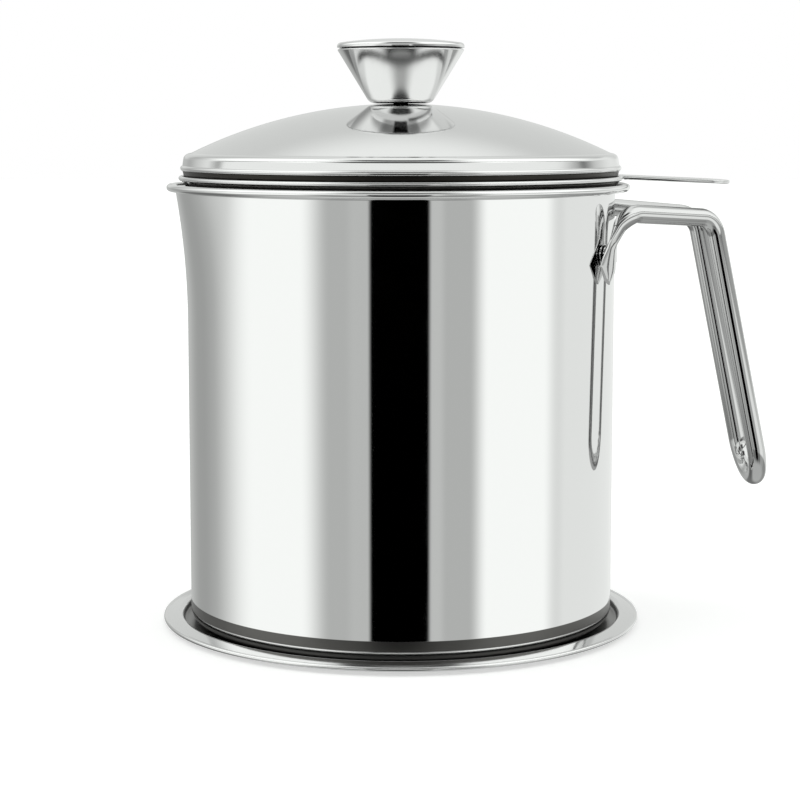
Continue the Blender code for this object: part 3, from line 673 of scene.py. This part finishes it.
def make_knob_screw():
    """A pan head screw with a cut slot and a ringed thread."""
    head_top = washer_levels()[0] - SEAT_GAP
    head_bottom = head_top - SCREW_HEAD_HEIGHT
    tip = knob_levels()[0] + KNOB_SHEET + SEAT_GAP + SCREW_REACH
    corners = [
        (point(0, head_bottom), 0),
        (point(SCREW_HEAD_RADIUS, head_bottom), SCREW_HEAD_ROUND),
        (point(SCREW_HEAD_RADIUS, head_top), 0),
        (point(SCREW_RADIUS, head_top), 0),
    ]
    height = head_top + THREAD_PITCH
    while height + THREAD_PITCH < tip:
        corners.append((point(SCREW_RADIUS, height), 0))
        corners.append((point(SCREW_RADIUS - THREAD_DEPTH, height + THREAD_PITCH / 2), 0))
        height += THREAD_PITCH
    corners.append((point(SCREW_RADIUS, height), 0))
    corners.append((point(SCREW_RADIUS - THREAD_DEPTH, tip), 0))
    corners.append((point(0, tip), 0))
    screw = turned("screw_blank", filleted(corners), KNOB_STEPS)
    slot = bmesh.new()
    bmesh.ops.create_cube(slot, size=1.0)
    slot_size = (SCREW_SLOT_LENGTH, SCREW_SLOT_WIDTH, SCREW_SLOT_DEPTH * 2)
    bmesh.ops.scale(slot, vec=slot_size, verts=slot.verts)
    cutter = finished("screw_slot", slot)
    cutter.location.z = head_bottom
    cut = screw.modifiers.new("Slot", "BOOLEAN")
    cut.operation = "DIFFERENCE"
    cut.solver = "EXACT"
    cut.object = cutter
    bpy.context.view_layer.update()
    finished_screw = as_mesh(screw, "lid_screw")
    bpy.data.objects.remove(cutter, do_unlink=True)
    return finished_screw


def bracket_half_height(angle):
    """Half the strip's height at an angle from +X, less toward its round ends."""
    end_share = min((BRACKET_HALF_ANGLE - abs(angle)) / BRACKET_END_ANGLE, 1.0)
    roundness = math.sqrt(max(1 - (1 - end_share) ** 2, 0.0))
    return BRACKET_TIP_HALF_HEIGHT + (BRACKET_HALF_HEIGHT - BRACKET_TIP_HALF_HEIGHT) * roundness


def make_bracket():
    """A strip bent round the wall, with rounded edges."""
    sections = []
    for column in range(BRACKET_COLUMNS + 1):
        along = 2 * column / BRACKET_COLUMNS - 1
        angle = BRACKET_HALF_ANGLE * math.sin(along * math.pi / 2)
        half = bracket_half_height(angle)
        ring = round_ring(
            BRACKET_INNER,
            BRACKET_OUTER,
            BRACKET_HEIGHT - half,
            BRACKET_HEIGHT + half,
            BRACKET_EDGE_ROUND,
        )
        sections.append([around(place.x, angle, place.z) for place in ring])
    return swept("handle_plate", sections)


def rod_place(radius, angle, rise):
    """A point beside the wall at -Y, at a rise from the middle of the bracket."""
    return around(radius, -angle, BRACKET_HEIGHT + rise)


def rod_route():
    """Half of the rod's middle line, at -Y, from its pressed tip to the grip's turn."""
    half_hug = (ROD_TIP_ANGLE - ROD_NECK_ANGLE) / 2
    hug_radius = (ROD_SEAT + ROD_RADIUS) / math.cos(half_hug)
    grip_bottom_reach = GRIP_REACH + (GRIP_TOP - GRIP_BOTTOM) * math.tan(GRIP_SPLAY)
    turn = GRIP_HALF_SPACING * GRIP_TURN_SHARE
    tip = rod_place(hug_radius, ROD_TIP_ANGLE, ROD_TIP_RISE)
    neck = rod_place(hug_radius, ROD_NECK_ANGLE, ROD_NECK_RISE)
    leave = rod_place(POT_WALL_RADIUS + ROD_LEAVE_STANDOFF, ROD_LEAVE_ANGLE, ROD_LEAVE_RISE)
    top = Vector((GRIP_REACH, -GRIP_HALF_SPACING, GRIP_TOP))
    bottom = Vector((grip_bottom_reach, -GRIP_HALF_SPACING, GRIP_BOTTOM))
    widest = tip + (neck - tip).normalized() * LEAF_POINT_LENGTH
    bends = filleted(
        [
            (widest, 0),
            (neck, ROD_NECK_BEND),
            (leave, ROD_LEAVE_BEND),
            (top, GRIP_BEND),
            (bottom, 0),
        ],
        steps=ROD_BEND_STEPS,
    )
    pointed = [tip.lerp(widest, step / ROD_END_STEPS) for step in range(ROD_END_STEPS)]
    tapered = [widest.lerp(bends[1], step / ROD_END_STEPS) for step in range(ROD_END_STEPS)]
    middle = Vector((bottom.x, 0, bottom.z))
    grip_turn = filleted(
        [(bends[-2], 0), (bottom, turn), (middle, 0)],
        steps=ROD_TURN_STEPS,
    )
    return pointed + tapered + bends[1:-1] + grip_turn[1:-1]


def leaf_form(run):
    """The rod's thickness and width at a run from its tip, as shares of the round rod."""
    swell = fade((run - LEAF_FLAT_LENGTH) / LEAF_SWELL_LENGTH)
    flat = LEAF_SHEET / (2 * ROD_RADIUS)
    if run < LEAF_POINT_LENGTH:
        point_share = run / LEAF_POINT_LENGTH
        half_width = LEAF_TIP_HALF_WIDTH + (LEAF_HALF_WIDTH - LEAF_TIP_HALF_WIDTH) * point_share
    else:
        taper = fade((run - LEAF_POINT_LENGTH) / LEAF_TAPER_LENGTH)
        half_width = LEAF_HALF_WIDTH + (ROD_RADIUS - LEAF_HALF_WIDTH) * taper
    return flat + (1 - flat) * swell, half_width / ROD_RADIUS


def rod_section(middle, out, side, run):
    """One ring of the rod, pressed toward the bracket near the tip."""
    thickness, width = leaf_form(run)
    middle_angle = math.atan2(middle.y, middle.x)
    section = []
    for step in range(ROD_SECTION_STEPS):
        turn = 2 * math.pi * step / ROD_SECTION_STEPS
        place = middle + (out * math.cos(turn) + side * math.sin(turn)) * ROD_RADIUS
        if run < LEAF_FLAT_LENGTH + LEAF_SWELL_LENGTH:
            angle = middle_angle + (math.atan2(place.y, place.x) - middle_angle) * width
            radius = ROD_SEAT + (math.hypot(place.x, place.y) - ROD_SEAT) * thickness
            place = around(radius, angle, place.z)
        section.append(place)
    return section


def make_rod():
    """The whole loop: half of its rings, and their mirror images in the XZ plane."""
    half = rod_route()
    out = Vector((half[0].x, half[0].y, 0)).normalized()
    run = 0.0
    rings = []
    for before, here, after in zip(half[:1] + half, half, half[1:] + half[-1:]):
        along = (after - before).normalized()
        out = (out - along * out.dot(along)).normalized()
        run += (here - before).length
        rings.append(rod_section(here, out, along.cross(out), run))
    far_rings = [[Vector((place.x, -place.y, place.z)) for place in ring] for ring in rings]
    return swept("handle_loop", rings + far_rings[::-1])


class Nodes:
    """Short calls that add nodes to one node tree and return their first output."""

    def __init__(self, tree):
        self.tree = tree

    def add(self, kind, settings=None, values=None, output=0):
        node = self.tree.nodes.new(kind)
        for name, value in (settings or {}).items():
            setattr(node, name, value)
        for name, value in (values or {}).items():
            if isinstance(value, bpy.types.NodeSocket):
                self.tree.links.new(value, node.inputs[name])
            else:
                node.inputs[name].default_value = value
        return node.outputs[output]

    def math(self, operation, *values):
        return self.add("ShaderNodeMath", {"operation": operation}, dict(enumerate(values)))

    def step(self, value, start, end):
        """A smooth step from 0 to 1 as value goes from start to end."""
        return self.add(
            "ShaderNodeMapRange",
            {"interpolation_type": "SMOOTHSTEP"},
            {"Value": value, "From Min": start, "From Max": end},
        )

    def spread(self, value, low, high):
        """A value from 0 to 1 made to run from low to high."""
        return self.add("ShaderNodeMapRange", None, {"Value": value, "To Min": low, "To Max": high})

    def noise(self, vector, scale, detail=3.0, roughness=0.5):
        values = {"Vector": vector, "Scale": scale, "Detail": detail, "Roughness": roughness}
        return self.add("ShaderNodeTexNoise", None, values)

    def stretched(self, vector, scale):
        return self.add("ShaderNodeMapping", None, {"Vector": vector, "Scale": scale})


# Painted shade: the steel's colour is darkened in the gaps between the parts, where shade falls,
# and in a band round the pot's foot as a painted reflection of the dark tray well. These patches
# are also made rougher. Each patch is inner and outer radius, bottom, top and strength.
SHADE_EDGE = 0.15 * MM
# The colour of the painted shade.
PAINTED_SHADE_COLOUR = (0.05, 0.047, 0.042, 1.0)
SEAM_ROUGHNESS = 0.3
# Painted shade in the pot's mouth, in the gap where the strainer sits on the rim.
MOUTH_SEAM_INSET = 0.75 * MM
MOUTH_SEAM_DROP = 0.1 * MM
MOUTH_SHADE = 0.92
# Painted shade on the pot's foot round, where it stands in the tray's well.
FOOT_SEAM_REACH = 2.0 * MM
FOOT_SEAM_TOP = 2.7 * MM
FOOT_SHADE = 0.70
# Painted reflection: a dark band on the wall above the foot stands in for the reflection of the
# shaded tray well.
FOOT_BAND_BOTTOM = 3.2 * MM
FOOT_BAND_TOP = 6.1 * MM
PAINTED_FOOT_REFLECTION = 0.91
# Painted shade on the strainer's cone inside its bead, in the gaps under the lid's hem and over the
# pot's mouth.
STRAINER_SEAM_INSET = 0.35 * MM
STRAINER_SEAM_DROP = 3.5 * MM
STRAINER_SHADE = 0.88
# Painted shade on the lid's seat under its hem, in the gap over the strainer's bead.
LID_SEAM_DROP = 5.0 * MM
LID_SEAM_START = 0.5 * MM
LID_SHADE = 1.0
# Painted shade in the tray's well, in the gap round the pot's foot.
TRAY_SEAM_REACH = 3.0 * MM
TRAY_SEAM_SPREAD = 0.4 * MM
TRAY_SEAM_RISE = 0.3 * MM
TRAY_SHADE = 0.80

RIM_LEVEL = POT_BEAD.z - POT_RIM_RISE
FOOT_SEAM_RADIUS = POT_WALL_RADIUS - FOOT_SEAM_REACH
# The pot's patches: painted shade in its mouth and at its foot in the tray's well, and a painted
# reflection of the dark well on the wall above the foot.
POT_SHADE_PATCHES = [
    (0.0, POT_BEAD.x - MOUTH_SEAM_INSET, RIM_LEVEL - MOUTH_SEAM_DROP, POT_CROWN, MOUTH_SHADE),
    (FOOT_SEAM_RADIUS, POT_RIM_RADIUS, 0.0, POT_BOTTOM + FOOT_SEAM_TOP, FOOT_SHADE),
    (
        FOOT_SEAM_RADIUS,
        POT_RIM_RADIUS,
        POT_BOTTOM + FOOT_BAND_BOTTOM,
        POT_BOTTOM + FOOT_BAND_TOP,
        PAINTED_FOOT_REFLECTION,
    ),
]
# The strainer's painted shade patch.
STRAINER_SHADE_PATCHES = [
    (
        0.0,
        STRAINER_BEAD.x - STRAINER_SEAM_INSET,
        STRAINER_BEAD.z - STRAINER_SEAM_DROP,
        STRAINER_TOP,
        STRAINER_SHADE,
    ),
]
# The lid's painted shade patch.
LID_SHADE_PATCHES = [
    (0.0, LID_RADIUS, LID_HEM.z - LID_SEAM_DROP, LID_HEM.z - LID_SEAM_START, LID_SHADE),
]
# The tray's painted shade patch.
TRAY_SHADE_PATCHES = [
    (
        POT_WALL_RADIUS - TRAY_SEAM_REACH,
        POT_WALL_RADIUS + TRAY_WELL_CLEARANCE + TRAY_SEAM_SPREAD,
        0.0,
        TRAY_WELL_DEPTH + TRAY_SEAM_RISE,
        TRAY_SHADE,
    ),
]

# How much of its place along X, Y and Z each pattern keeps
WITHOUT_HEIGHT = (1.0, 1.0, 0.0)
DRAWN_UPRIGHT = (1.0, 1.0, 0.012)
RIPPLED_UPRIGHT = (1.0, 1.0, 0.35)

# Depths of the marks in the steel
RIPPLE_DEPTH = 0.02 * MM
LINE_DEPTH = 0.0006 * MM
GROOVE_DEPTH = 0.002 * MM
SCRATCH_DEPTH = 0.003 * MM
SCRATCH_STRENGTH = 0.3
TURNING_SHARE = 0.5


def new_material(name, colour, metallic=1.0):
    material = bpy.data.materials.new(name)
    material.use_nodes = True
    shader = material.node_tree.nodes["Principled BSDF"]
    shader.inputs["Base Color"].default_value = (*colour, 1.0)
    shader.inputs["Metallic"].default_value = metallic
    return material, shader, Nodes(material.node_tree)


def paint_shade(nodes, shader, place, colour, roughness, shade_patches):
    """Paint shade in the given patches: darken the sheet's colour there and dull it, and return the
    roughness.
    """
    flat = nodes.stretched(place, WITHOUT_HEIGHT)
    radius = nodes.add("ShaderNodeVectorMath", {"operation": "LENGTH"}, {0: flat}, "Value")
    height = nodes.add("ShaderNodeSeparateXYZ", None, {0: place}, "Z")
    darkness = 0.0
    for inner, outer, bottom, top, strength in shade_patches:
        patch = nodes.step(radius, inner - SHADE_EDGE, inner)
        patch = nodes.math("MULTIPLY", patch, nodes.step(radius, outer, outer - SHADE_EDGE))
        patch = nodes.math("MULTIPLY", patch, nodes.step(height, bottom, bottom + SHADE_EDGE))
        patch = nodes.math("MULTIPLY", patch, nodes.step(height, top, top - SHADE_EDGE))
        darkness = nodes.math("MAXIMUM", darkness, nodes.math("MULTIPLY", patch, strength))
    # Painted shade: the base colour goes toward the dark shade colour in each patch.
    shaded_colour = nodes.add(
        "ShaderNodeMixRGB", None, {"Fac": darkness, "Color1": (*colour, 1.0), "Color2": PAINTED_SHADE_COLOUR}
    )
    nodes.tree.links.new(shaded_colour, shader.inputs["Base Color"])
    return nodes.math("MULTIPLY_ADD", darkness, SEAM_ROUGHNESS, roughness)


def drawn_steel(name, colour, smooth, rough, streak, wave, shade_patches=()):
    """Polished sheet with faint upright drawing lines, smears and a slight waviness."""
    material, shader, nodes = new_material(name, colour)
    place = nodes.add("ShaderNodeTexCoord", output="Object")
    upright = nodes.stretched(place, DRAWN_UPRIGHT)
    smears = nodes.noise(place, scale=55.0, detail=4.0, roughness=0.6)
    lines = nodes.noise(upright, scale=2600.0, detail=2.0, roughness=0.7)
    worn = nodes.math("MULTIPLY_ADD", lines, streak, smears)
    level = nodes.spread(nodes.step(worn, start=0.35, end=0.85 + streak), smooth, rough)
    # Painted shade in the given patches.
    if shade_patches:
        level = paint_shade(nodes, shader, place, colour, level, shade_patches)
    material.node_tree.links.new(level, shader.inputs["Roughness"])
    long_waves = nodes.stretched(place, RIPPLED_UPRIGHT)
    ripples = nodes.noise(long_waves, scale=42.0, detail=2.0, roughness=0.4)
    bump = nodes.add(
        "ShaderNodeBump", None, {"Strength": wave, "Distance": RIPPLE_DEPTH, "Height": ripples}
    )
    fine = nodes.add(
        "ShaderNodeBump",
        None,
        {"Strength": streak, "Distance": LINE_DEPTH, "Height": lines, "Normal": bump},
    )
    material.node_tree.links.new(fine, shader.inputs["Normal"])
    return material


def spun_steel(name, colour, smooth, rough, groove, pitch, shade_patches=()):
    """Sheet with fine turning lines round the axis, broken up by smears."""
    material, shader, nodes = new_material(name, colour)
    place = nodes.add("ShaderNodeTexCoord", output="Object")
    flat = nodes.stretched(place, WITHOUT_HEIGHT)
    radius = nodes.add("ShaderNodeVectorMath", {"operation": "LENGTH"}, {0: flat}, "Value")
    height = nodes.add("ShaderNodeSeparateXYZ", None, {0: place}, "Z")
    run = nodes.math("ADD", radius, height)
    turning = nodes.add(
        "ShaderNodeTexNoise",
        {"noise_dimensions": "1D"},
        {"W": run, "Scale": 1.0 / pitch, "Detail": 3.0, "Roughness": 0.7},
    )
    smears = nodes.noise(place, scale=70.0, detail=4.0, roughness=0.6)
    worn = nodes.math("MULTIPLY_ADD", turning, TURNING_SHARE, smears)
    level = nodes.spread(nodes.step(worn, start=0.5, end=1.05), smooth, rough)
    # Painted shade in the given patches.
    if shade_patches:
        level = paint_shade(nodes, shader, place, colour, level, shade_patches)
    material.node_tree.links.new(level, shader.inputs["Roughness"])
    bump = nodes.add(
        "ShaderNodeBump", None, {"Strength": groove, "Distance": GROOVE_DEPTH, "Height": turning}
    )
    material.node_tree.links.new(bump, shader.inputs["Normal"])
    return material


def wire_steel(name, colour):
    """Drawn wire: fine lengthwise scratches and dull patches."""
    material, shader, nodes = new_material(name, colour)
    place = nodes.add("ShaderNodeTexCoord", output="Object")
    patches = nodes.noise(place, scale=900.0, detail=3.0, roughness=0.6)
    level = nodes.spread(patches, low=0.2, high=0.42)
    material.node_tree.links.new(level, shader.inputs["Roughness"])
    scratches = nodes.noise(place, scale=6000.0, detail=2.0, roughness=0.7)
    marks = {"Strength": SCRATCH_STRENGTH, "Distance": SCRATCH_DEPTH, "Height": scratches}
    bump = nodes.add("ShaderNodeBump", None, marks)
    material.node_tree.links.new(bump, shader.inputs["Normal"])
    return material


def fit_piece(piece, body, node, material):
    piece.data.materials.clear()
    piece.data.materials.append(material)
    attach(piece, body)
    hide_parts(node)


# The studio as seen from the object, in degrees. Azimuths count from the camera and are
# negative toward -X. Each panel is from, to, soft from, soft to, level.
ROOM_LEVEL = 0.53
SIDE_PANELS = [
    (-150.0, -121.0, 12.0, 12.0, 0.40),
    (-102.0, -46.0, 18.0, 9.0, 1.17),
    (-27.0, -15.0, 3.0, 2.0, 0.58),
    (14.0, 22.0, 2.0, 2.5, 0.62),
    (41.5, 90.0, 5.5, 9.0, 1.17),
    (90.0, 172.0, 9.0, 8.0, 0.92),
    (-16.2, 15.0, 1.3, 1.3, 0.0),
]
SKIRTING_SHARE = 0.42
SKIRTING_EDGE = (-24.0, -17.0)
FLOOR_LEVEL = 0.62
FLOOR_EDGE = (-60.0, -38.0)
CARD_LEVEL = 1.05
CARD_FOOT = (1.0, 5.0)
CARD_SIDE = (105.0, 160.0)
TOP_FOOT = (17.0, 23.0)
TOP_LEVELS = (0.62, 1.38)
TOP_RISE = (5.0, 45.0)
TOP_FALL = (110.0, 145.0)
BACK_SIDE = (145.0, 160.0)
BACK_FOOT = (0.0, 6.0)
BACK_LEVELS = (0.74, 1.06)
BACK_RISE = (34.0, 52.0)
CEILING_LEVEL = 1.10
CEILING_EDGE = (62.0, 75.0)
VALANCE_LEVEL = 0.06
VALANCE_TILT = math.radians(24.6)
VALANCE_TOP = (70.5, 72.1)
VALANCE_DROP = (73.5, 75.5)
VALANCE_SIDE = (100.0, 125.0)
FRONT_FOOT = (20.5, 23.5)
FRONT_TOP = (37.0, 40.0)
FRONT_SIDE = (24.0, 54.0)
RAIL_LEVELS = (0.10, 0.50)
RAIL_RISE = (35.0, 80.0)
RAIL_FOOT = (-0.5, 2.5)
RAIL_TOP = (9.0, 11.5)
RAIL_START = (16.0, 24.0)
RAIL_END = (106.0, 146.0)
BOOM_LEVEL = 0.05
BOOM_FOOT = (49.5, 52.5)
BOOM_TOP = (70.0, 76.0)
BOOM_SIDE = (30.0, 60.0)
STUDIO_COLOUR = (0.98, 1.0, 0.98, 1.0)
WHITE = (1.0, 1.0, 1.0, 1.0)


def studio_level(nodes):
    """How bright the studio is in each direction from the object."""
    direction = nodes.add("ShaderNodeTexCoord", output="Generated")
    right = (math.cos(CAMERA_AZIMUTH), math.sin(CAMERA_AZIMUTH), 0.0)
    front = (math.sin(CAMERA_AZIMUTH), -math.cos(CAMERA_AZIMUTH), 0.0)
    canopy = (
        -front[0] * math.sin(VALANCE_TILT),
        -front[1] * math.sin(VALANCE_TILT),
        math.cos(VALANCE_TILT),
    )

    def along(axis):
        dot = {"operation": "DOT_PRODUCT"}
        return nodes.add("ShaderNodeVectorMath", dot, {0: direction, 1: axis}, "Value")

    def degrees(angle):
        return nodes.math("MULTIPLY", angle, 180.0 / math.pi)

    def both(first, second):
        return nodes.math("MULTIPLY", first, second)

    def past(value, edge):
        return nodes.step(value, *edge)

    def before(value, edge):
        return nodes.math("SUBTRACT", 1.0, nodes.step(value, *edge))

    def laid_over(level, panel_level, mask):
        change = nodes.math("SUBTRACT", panel_level, level)
        return nodes.math("MULTIPLY_ADD", change, mask, level)

    azimuth = degrees(nodes.math("ARCTAN2", along(right), along(front)))
    turn = nodes.math("ABSOLUTE", azimuth)
    elevation = degrees(nodes.math("ARCSINE", along((0.0, 0.0, 1.0))))
    from_canopy = degrees(nodes.math("ARCCOSINE", along(canopy)))

    level = ROOM_LEVEL
    for start, end, soft_start, soft_end, panel_level in SIDE_PANELS:
        rising = past(azimuth, (start - soft_start, start + soft_start))
        falling = before(azimuth, (end - soft_end, end + soft_end))
        level = laid_over(level, panel_level, both(rising, falling))
    skirting = nodes.spread(past(elevation, SKIRTING_EDGE), SKIRTING_SHARE, 1.0)
    level = both(level, skirting)
    level = laid_over(level, FLOOR_LEVEL, before(elevation, FLOOR_EDGE))
    card = both(past(elevation, CARD_FOOT), before(turn, CARD_SIDE))
    level = laid_over(level, CARD_LEVEL, card)
    rail = both(past(azimuth, RAIL_START), before(azimuth, RAIL_END))
    rail = both(rail, both(past(elevation, RAIL_FOOT), before(elevation, RAIL_TOP)))
    level = laid_over(level, nodes.spread(past(azimuth, RAIL_RISE), *RAIL_LEVELS), rail)
    wings = nodes.spread(both(past(turn, TOP_RISE), before(turn, TOP_FALL)), *TOP_LEVELS)
    level = laid_over(level, wings, past(elevation, TOP_FOOT))
    back = both(past(turn, BACK_SIDE), past(elevation, BACK_FOOT))
    level = laid_over(level, nodes.spread(past(elevation, BACK_RISE), *BACK_LEVELS), back)
    level = laid_over(level, CEILING_LEVEL, past(elevation, CEILING_EDGE))
    drop = both(past(from_canopy, VALANCE_TOP), before(from_canopy, VALANCE_DROP))
    drop = both(drop, before(turn, VALANCE_SIDE))
    front = both(past(elevation, FRONT_FOOT), before(elevation, FRONT_TOP))
    valance = nodes.math("MAXIMUM", drop, both(front, before(turn, FRONT_SIDE)))
    level = laid_over(level, VALANCE_LEVEL, valance)
    boom = both(past(elevation, BOOM_FOOT), before(elevation, BOOM_TOP))
    return laid_over(level, BOOM_LEVEL, both(boom, before(turn, BOOM_SIDE)))


def light_the_world():
    """A studio of soft panels round the object, which the camera itself sees as white."""
    world = bpy.data.worlds.new("studio")
    bpy.context.scene.world = world
    world.use_nodes = True
    tree = world.node_tree
    tree.nodes.clear()
    nodes = Nodes(tree)
    lit = {"Color": STUDIO_COLOUR, "Strength": studio_level(nodes)}
    studio = nodes.add("ShaderNodeBackground", None, lit)
    white = nodes.add("ShaderNodeBackground", None, {"Color": WHITE})
    seen = nodes.add("ShaderNodeLightPath", output="Is Camera Ray")
    mixed = nodes.add("ShaderNodeMixShader", None, {0: seen, 1: studio, 2: white})
    output = tree.nodes.new("ShaderNodeOutputWorld")
    tree.links.new(mixed, output.inputs["Surface"])


FLOOR_RADIUS = 4.0
FLOOR_STEPS = 64
FLOOR_DROP = 0.1 * MM
FLOOR_COLOUR = (0.80, 0.80, 0.80)
FLOOR_ROUGHNESS = 0.9
FLOOR_SHEEN = 0.1
FLOOR_GLOW = 0.42


def lay_floor():
    """A plain pale floor that keeps the object's soft shadow."""
    cage = bmesh.new()
    bmesh.ops.create_circle(cage, cap_ends=True, segments=FLOOR_STEPS, radius=FLOOR_RADIUS)
    floor = finished("floor", cage)
    floor.location.z = -FLOOR_DROP
    material, shader, nodes = new_material("floor_white", FLOOR_COLOUR, metallic=0.0)
    shader.inputs["Roughness"].default_value = FLOOR_ROUGHNESS
    shader.inputs["Specular IOR Level"].default_value = FLOOR_SHEEN
    shader.inputs["Emission Color"].default_value = WHITE
    seen = nodes.add("ShaderNodeLightPath", output="Is Camera Ray")
    glow = nodes.math("MULTIPLY", seen, FLOOR_GLOW)
    material.node_tree.links.new(glow, shader.inputs["Emission Strength"])
    floor.data.materials.append(material)
    floor.visible_glossy = False


def place_camera():
    data = bpy.data.cameras.new("camera")
    camera = bpy.data.objects.new("camera", data)
    bpy.context.scene.collection.objects.link(camera)
    camera.location = (
        math.sin(CAMERA_AZIMUTH) * CAMERA_DISTANCE,
        -math.cos(CAMERA_AZIMUTH) * CAMERA_DISTANCE,
        CAMERA_HEIGHT,
    )
    camera.rotation_euler = (math.pi / 2 - CAMERA_PITCH, 0.0, CAMERA_AZIMUTH)
    data.lens = CAMERA_FOCUS / PICTURE_SIZE * data.sensor_width
    data.shift_x = (PICTURE_SIZE / 2 - CAMERA_CENTRE[0]) / PICTURE_SIZE
    data.shift_y = (CAMERA_CENTRE[1] - PICTURE_SIZE / 2) / PICTURE_SIZE
    data.clip_start, data.clip_end = CAMERA_CLIP
    bpy.context.scene.camera = camera


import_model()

mirror = drawn_steel(
    "mirror_sheet",
    (0.80, 0.80, 0.80),
    smooth=0.03,
    rough=0.06,
    streak=0.25,
    wave=0.25,
    shade_patches=POT_SHADE_PATCHES,
)
rod = drawn_steel(
    "polished_rod", (0.62, 0.62, 0.62), smooth=0.05, rough=0.10, streak=0.3, wave=0.2
)
plate = drawn_steel(
    "polished_plate", (0.72, 0.72, 0.72), smooth=0.04, rough=0.08, streak=0.3, wave=0.2
)
tray = spun_steel(
    "tray_finish",
    (0.76, 0.76, 0.76),
    smooth=0.06,
    rough=0.11,
    groove=0.12,
    pitch=0.35 * MM,
    shade_patches=TRAY_SHADE_PATCHES,
)
lid = spun_steel(
    "lid_finish",
    (0.76, 0.76, 0.76),
    smooth=0.05,
    rough=0.09,
    groove=0.10,
    pitch=0.3 * MM,
    shade_patches=LID_SHADE_PATCHES,
)
knob = spun_steel(
    "knob_finish", (0.78, 0.78, 0.78), smooth=0.05, rough=0.10, groove=0.18, pitch=0.25 * MM
)
strainer = spun_steel(
    "strainer_finish",
    (0.74, 0.74, 0.74),
    smooth=0.07,
    rough=0.15,
    groove=0.25,
    pitch=0.3 * MM,
    shade_patches=STRAINER_SHADE_PATCHES,
)
wire = wire_steel("wire_finish", (0.62, 0.62, 0.63))
fastener = spun_steel(
    "fastener_finish", (0.55, 0.55, 0.56), smooth=0.25, rough=0.38, groove=0.4, pitch=0.15 * MM
)

fit_piece(make_tray(), "tray", "base_tray", tray)
fit_piece(make_pot(), "pot", "pot_body", mirror)
fit_piece(make_bracket(), "pot", "handle_bracket", plate)
fit_piece(make_rod(), "pot", "handle_rod", rod)
fit_piece(make_strainer_rim(), "strainer", "strainer_rim", strainer)
fit_piece(make_weave(), "strainer", "strainer_mesh", wire)
fit_piece(make_clamp_ring(), "strainer", "strainer_clamp_ring", strainer)
fit_piece(make_tab(), "strainer", "strainer_tab", strainer)
fit_piece(make_lid(), "lid", "lid_shell", lid)
fit_piece(make_knob_cone(), "lid", "knob_cone", knob)
fit_piece(make_knob_cap(), "lid", "knob_cap", knob)
fit_piece(make_knob_insert(), "lid", "knob_insert", fastener)
fit_piece(make_knob_washer(), "lid", "knob_washer", fastener)
fit_piece(make_knob_screw(), "lid", "knob_screw", fastener)

light_the_world()
lay_floor()
place_camera()
bpy.context.scene.view_settings.view_transform = "Standard"
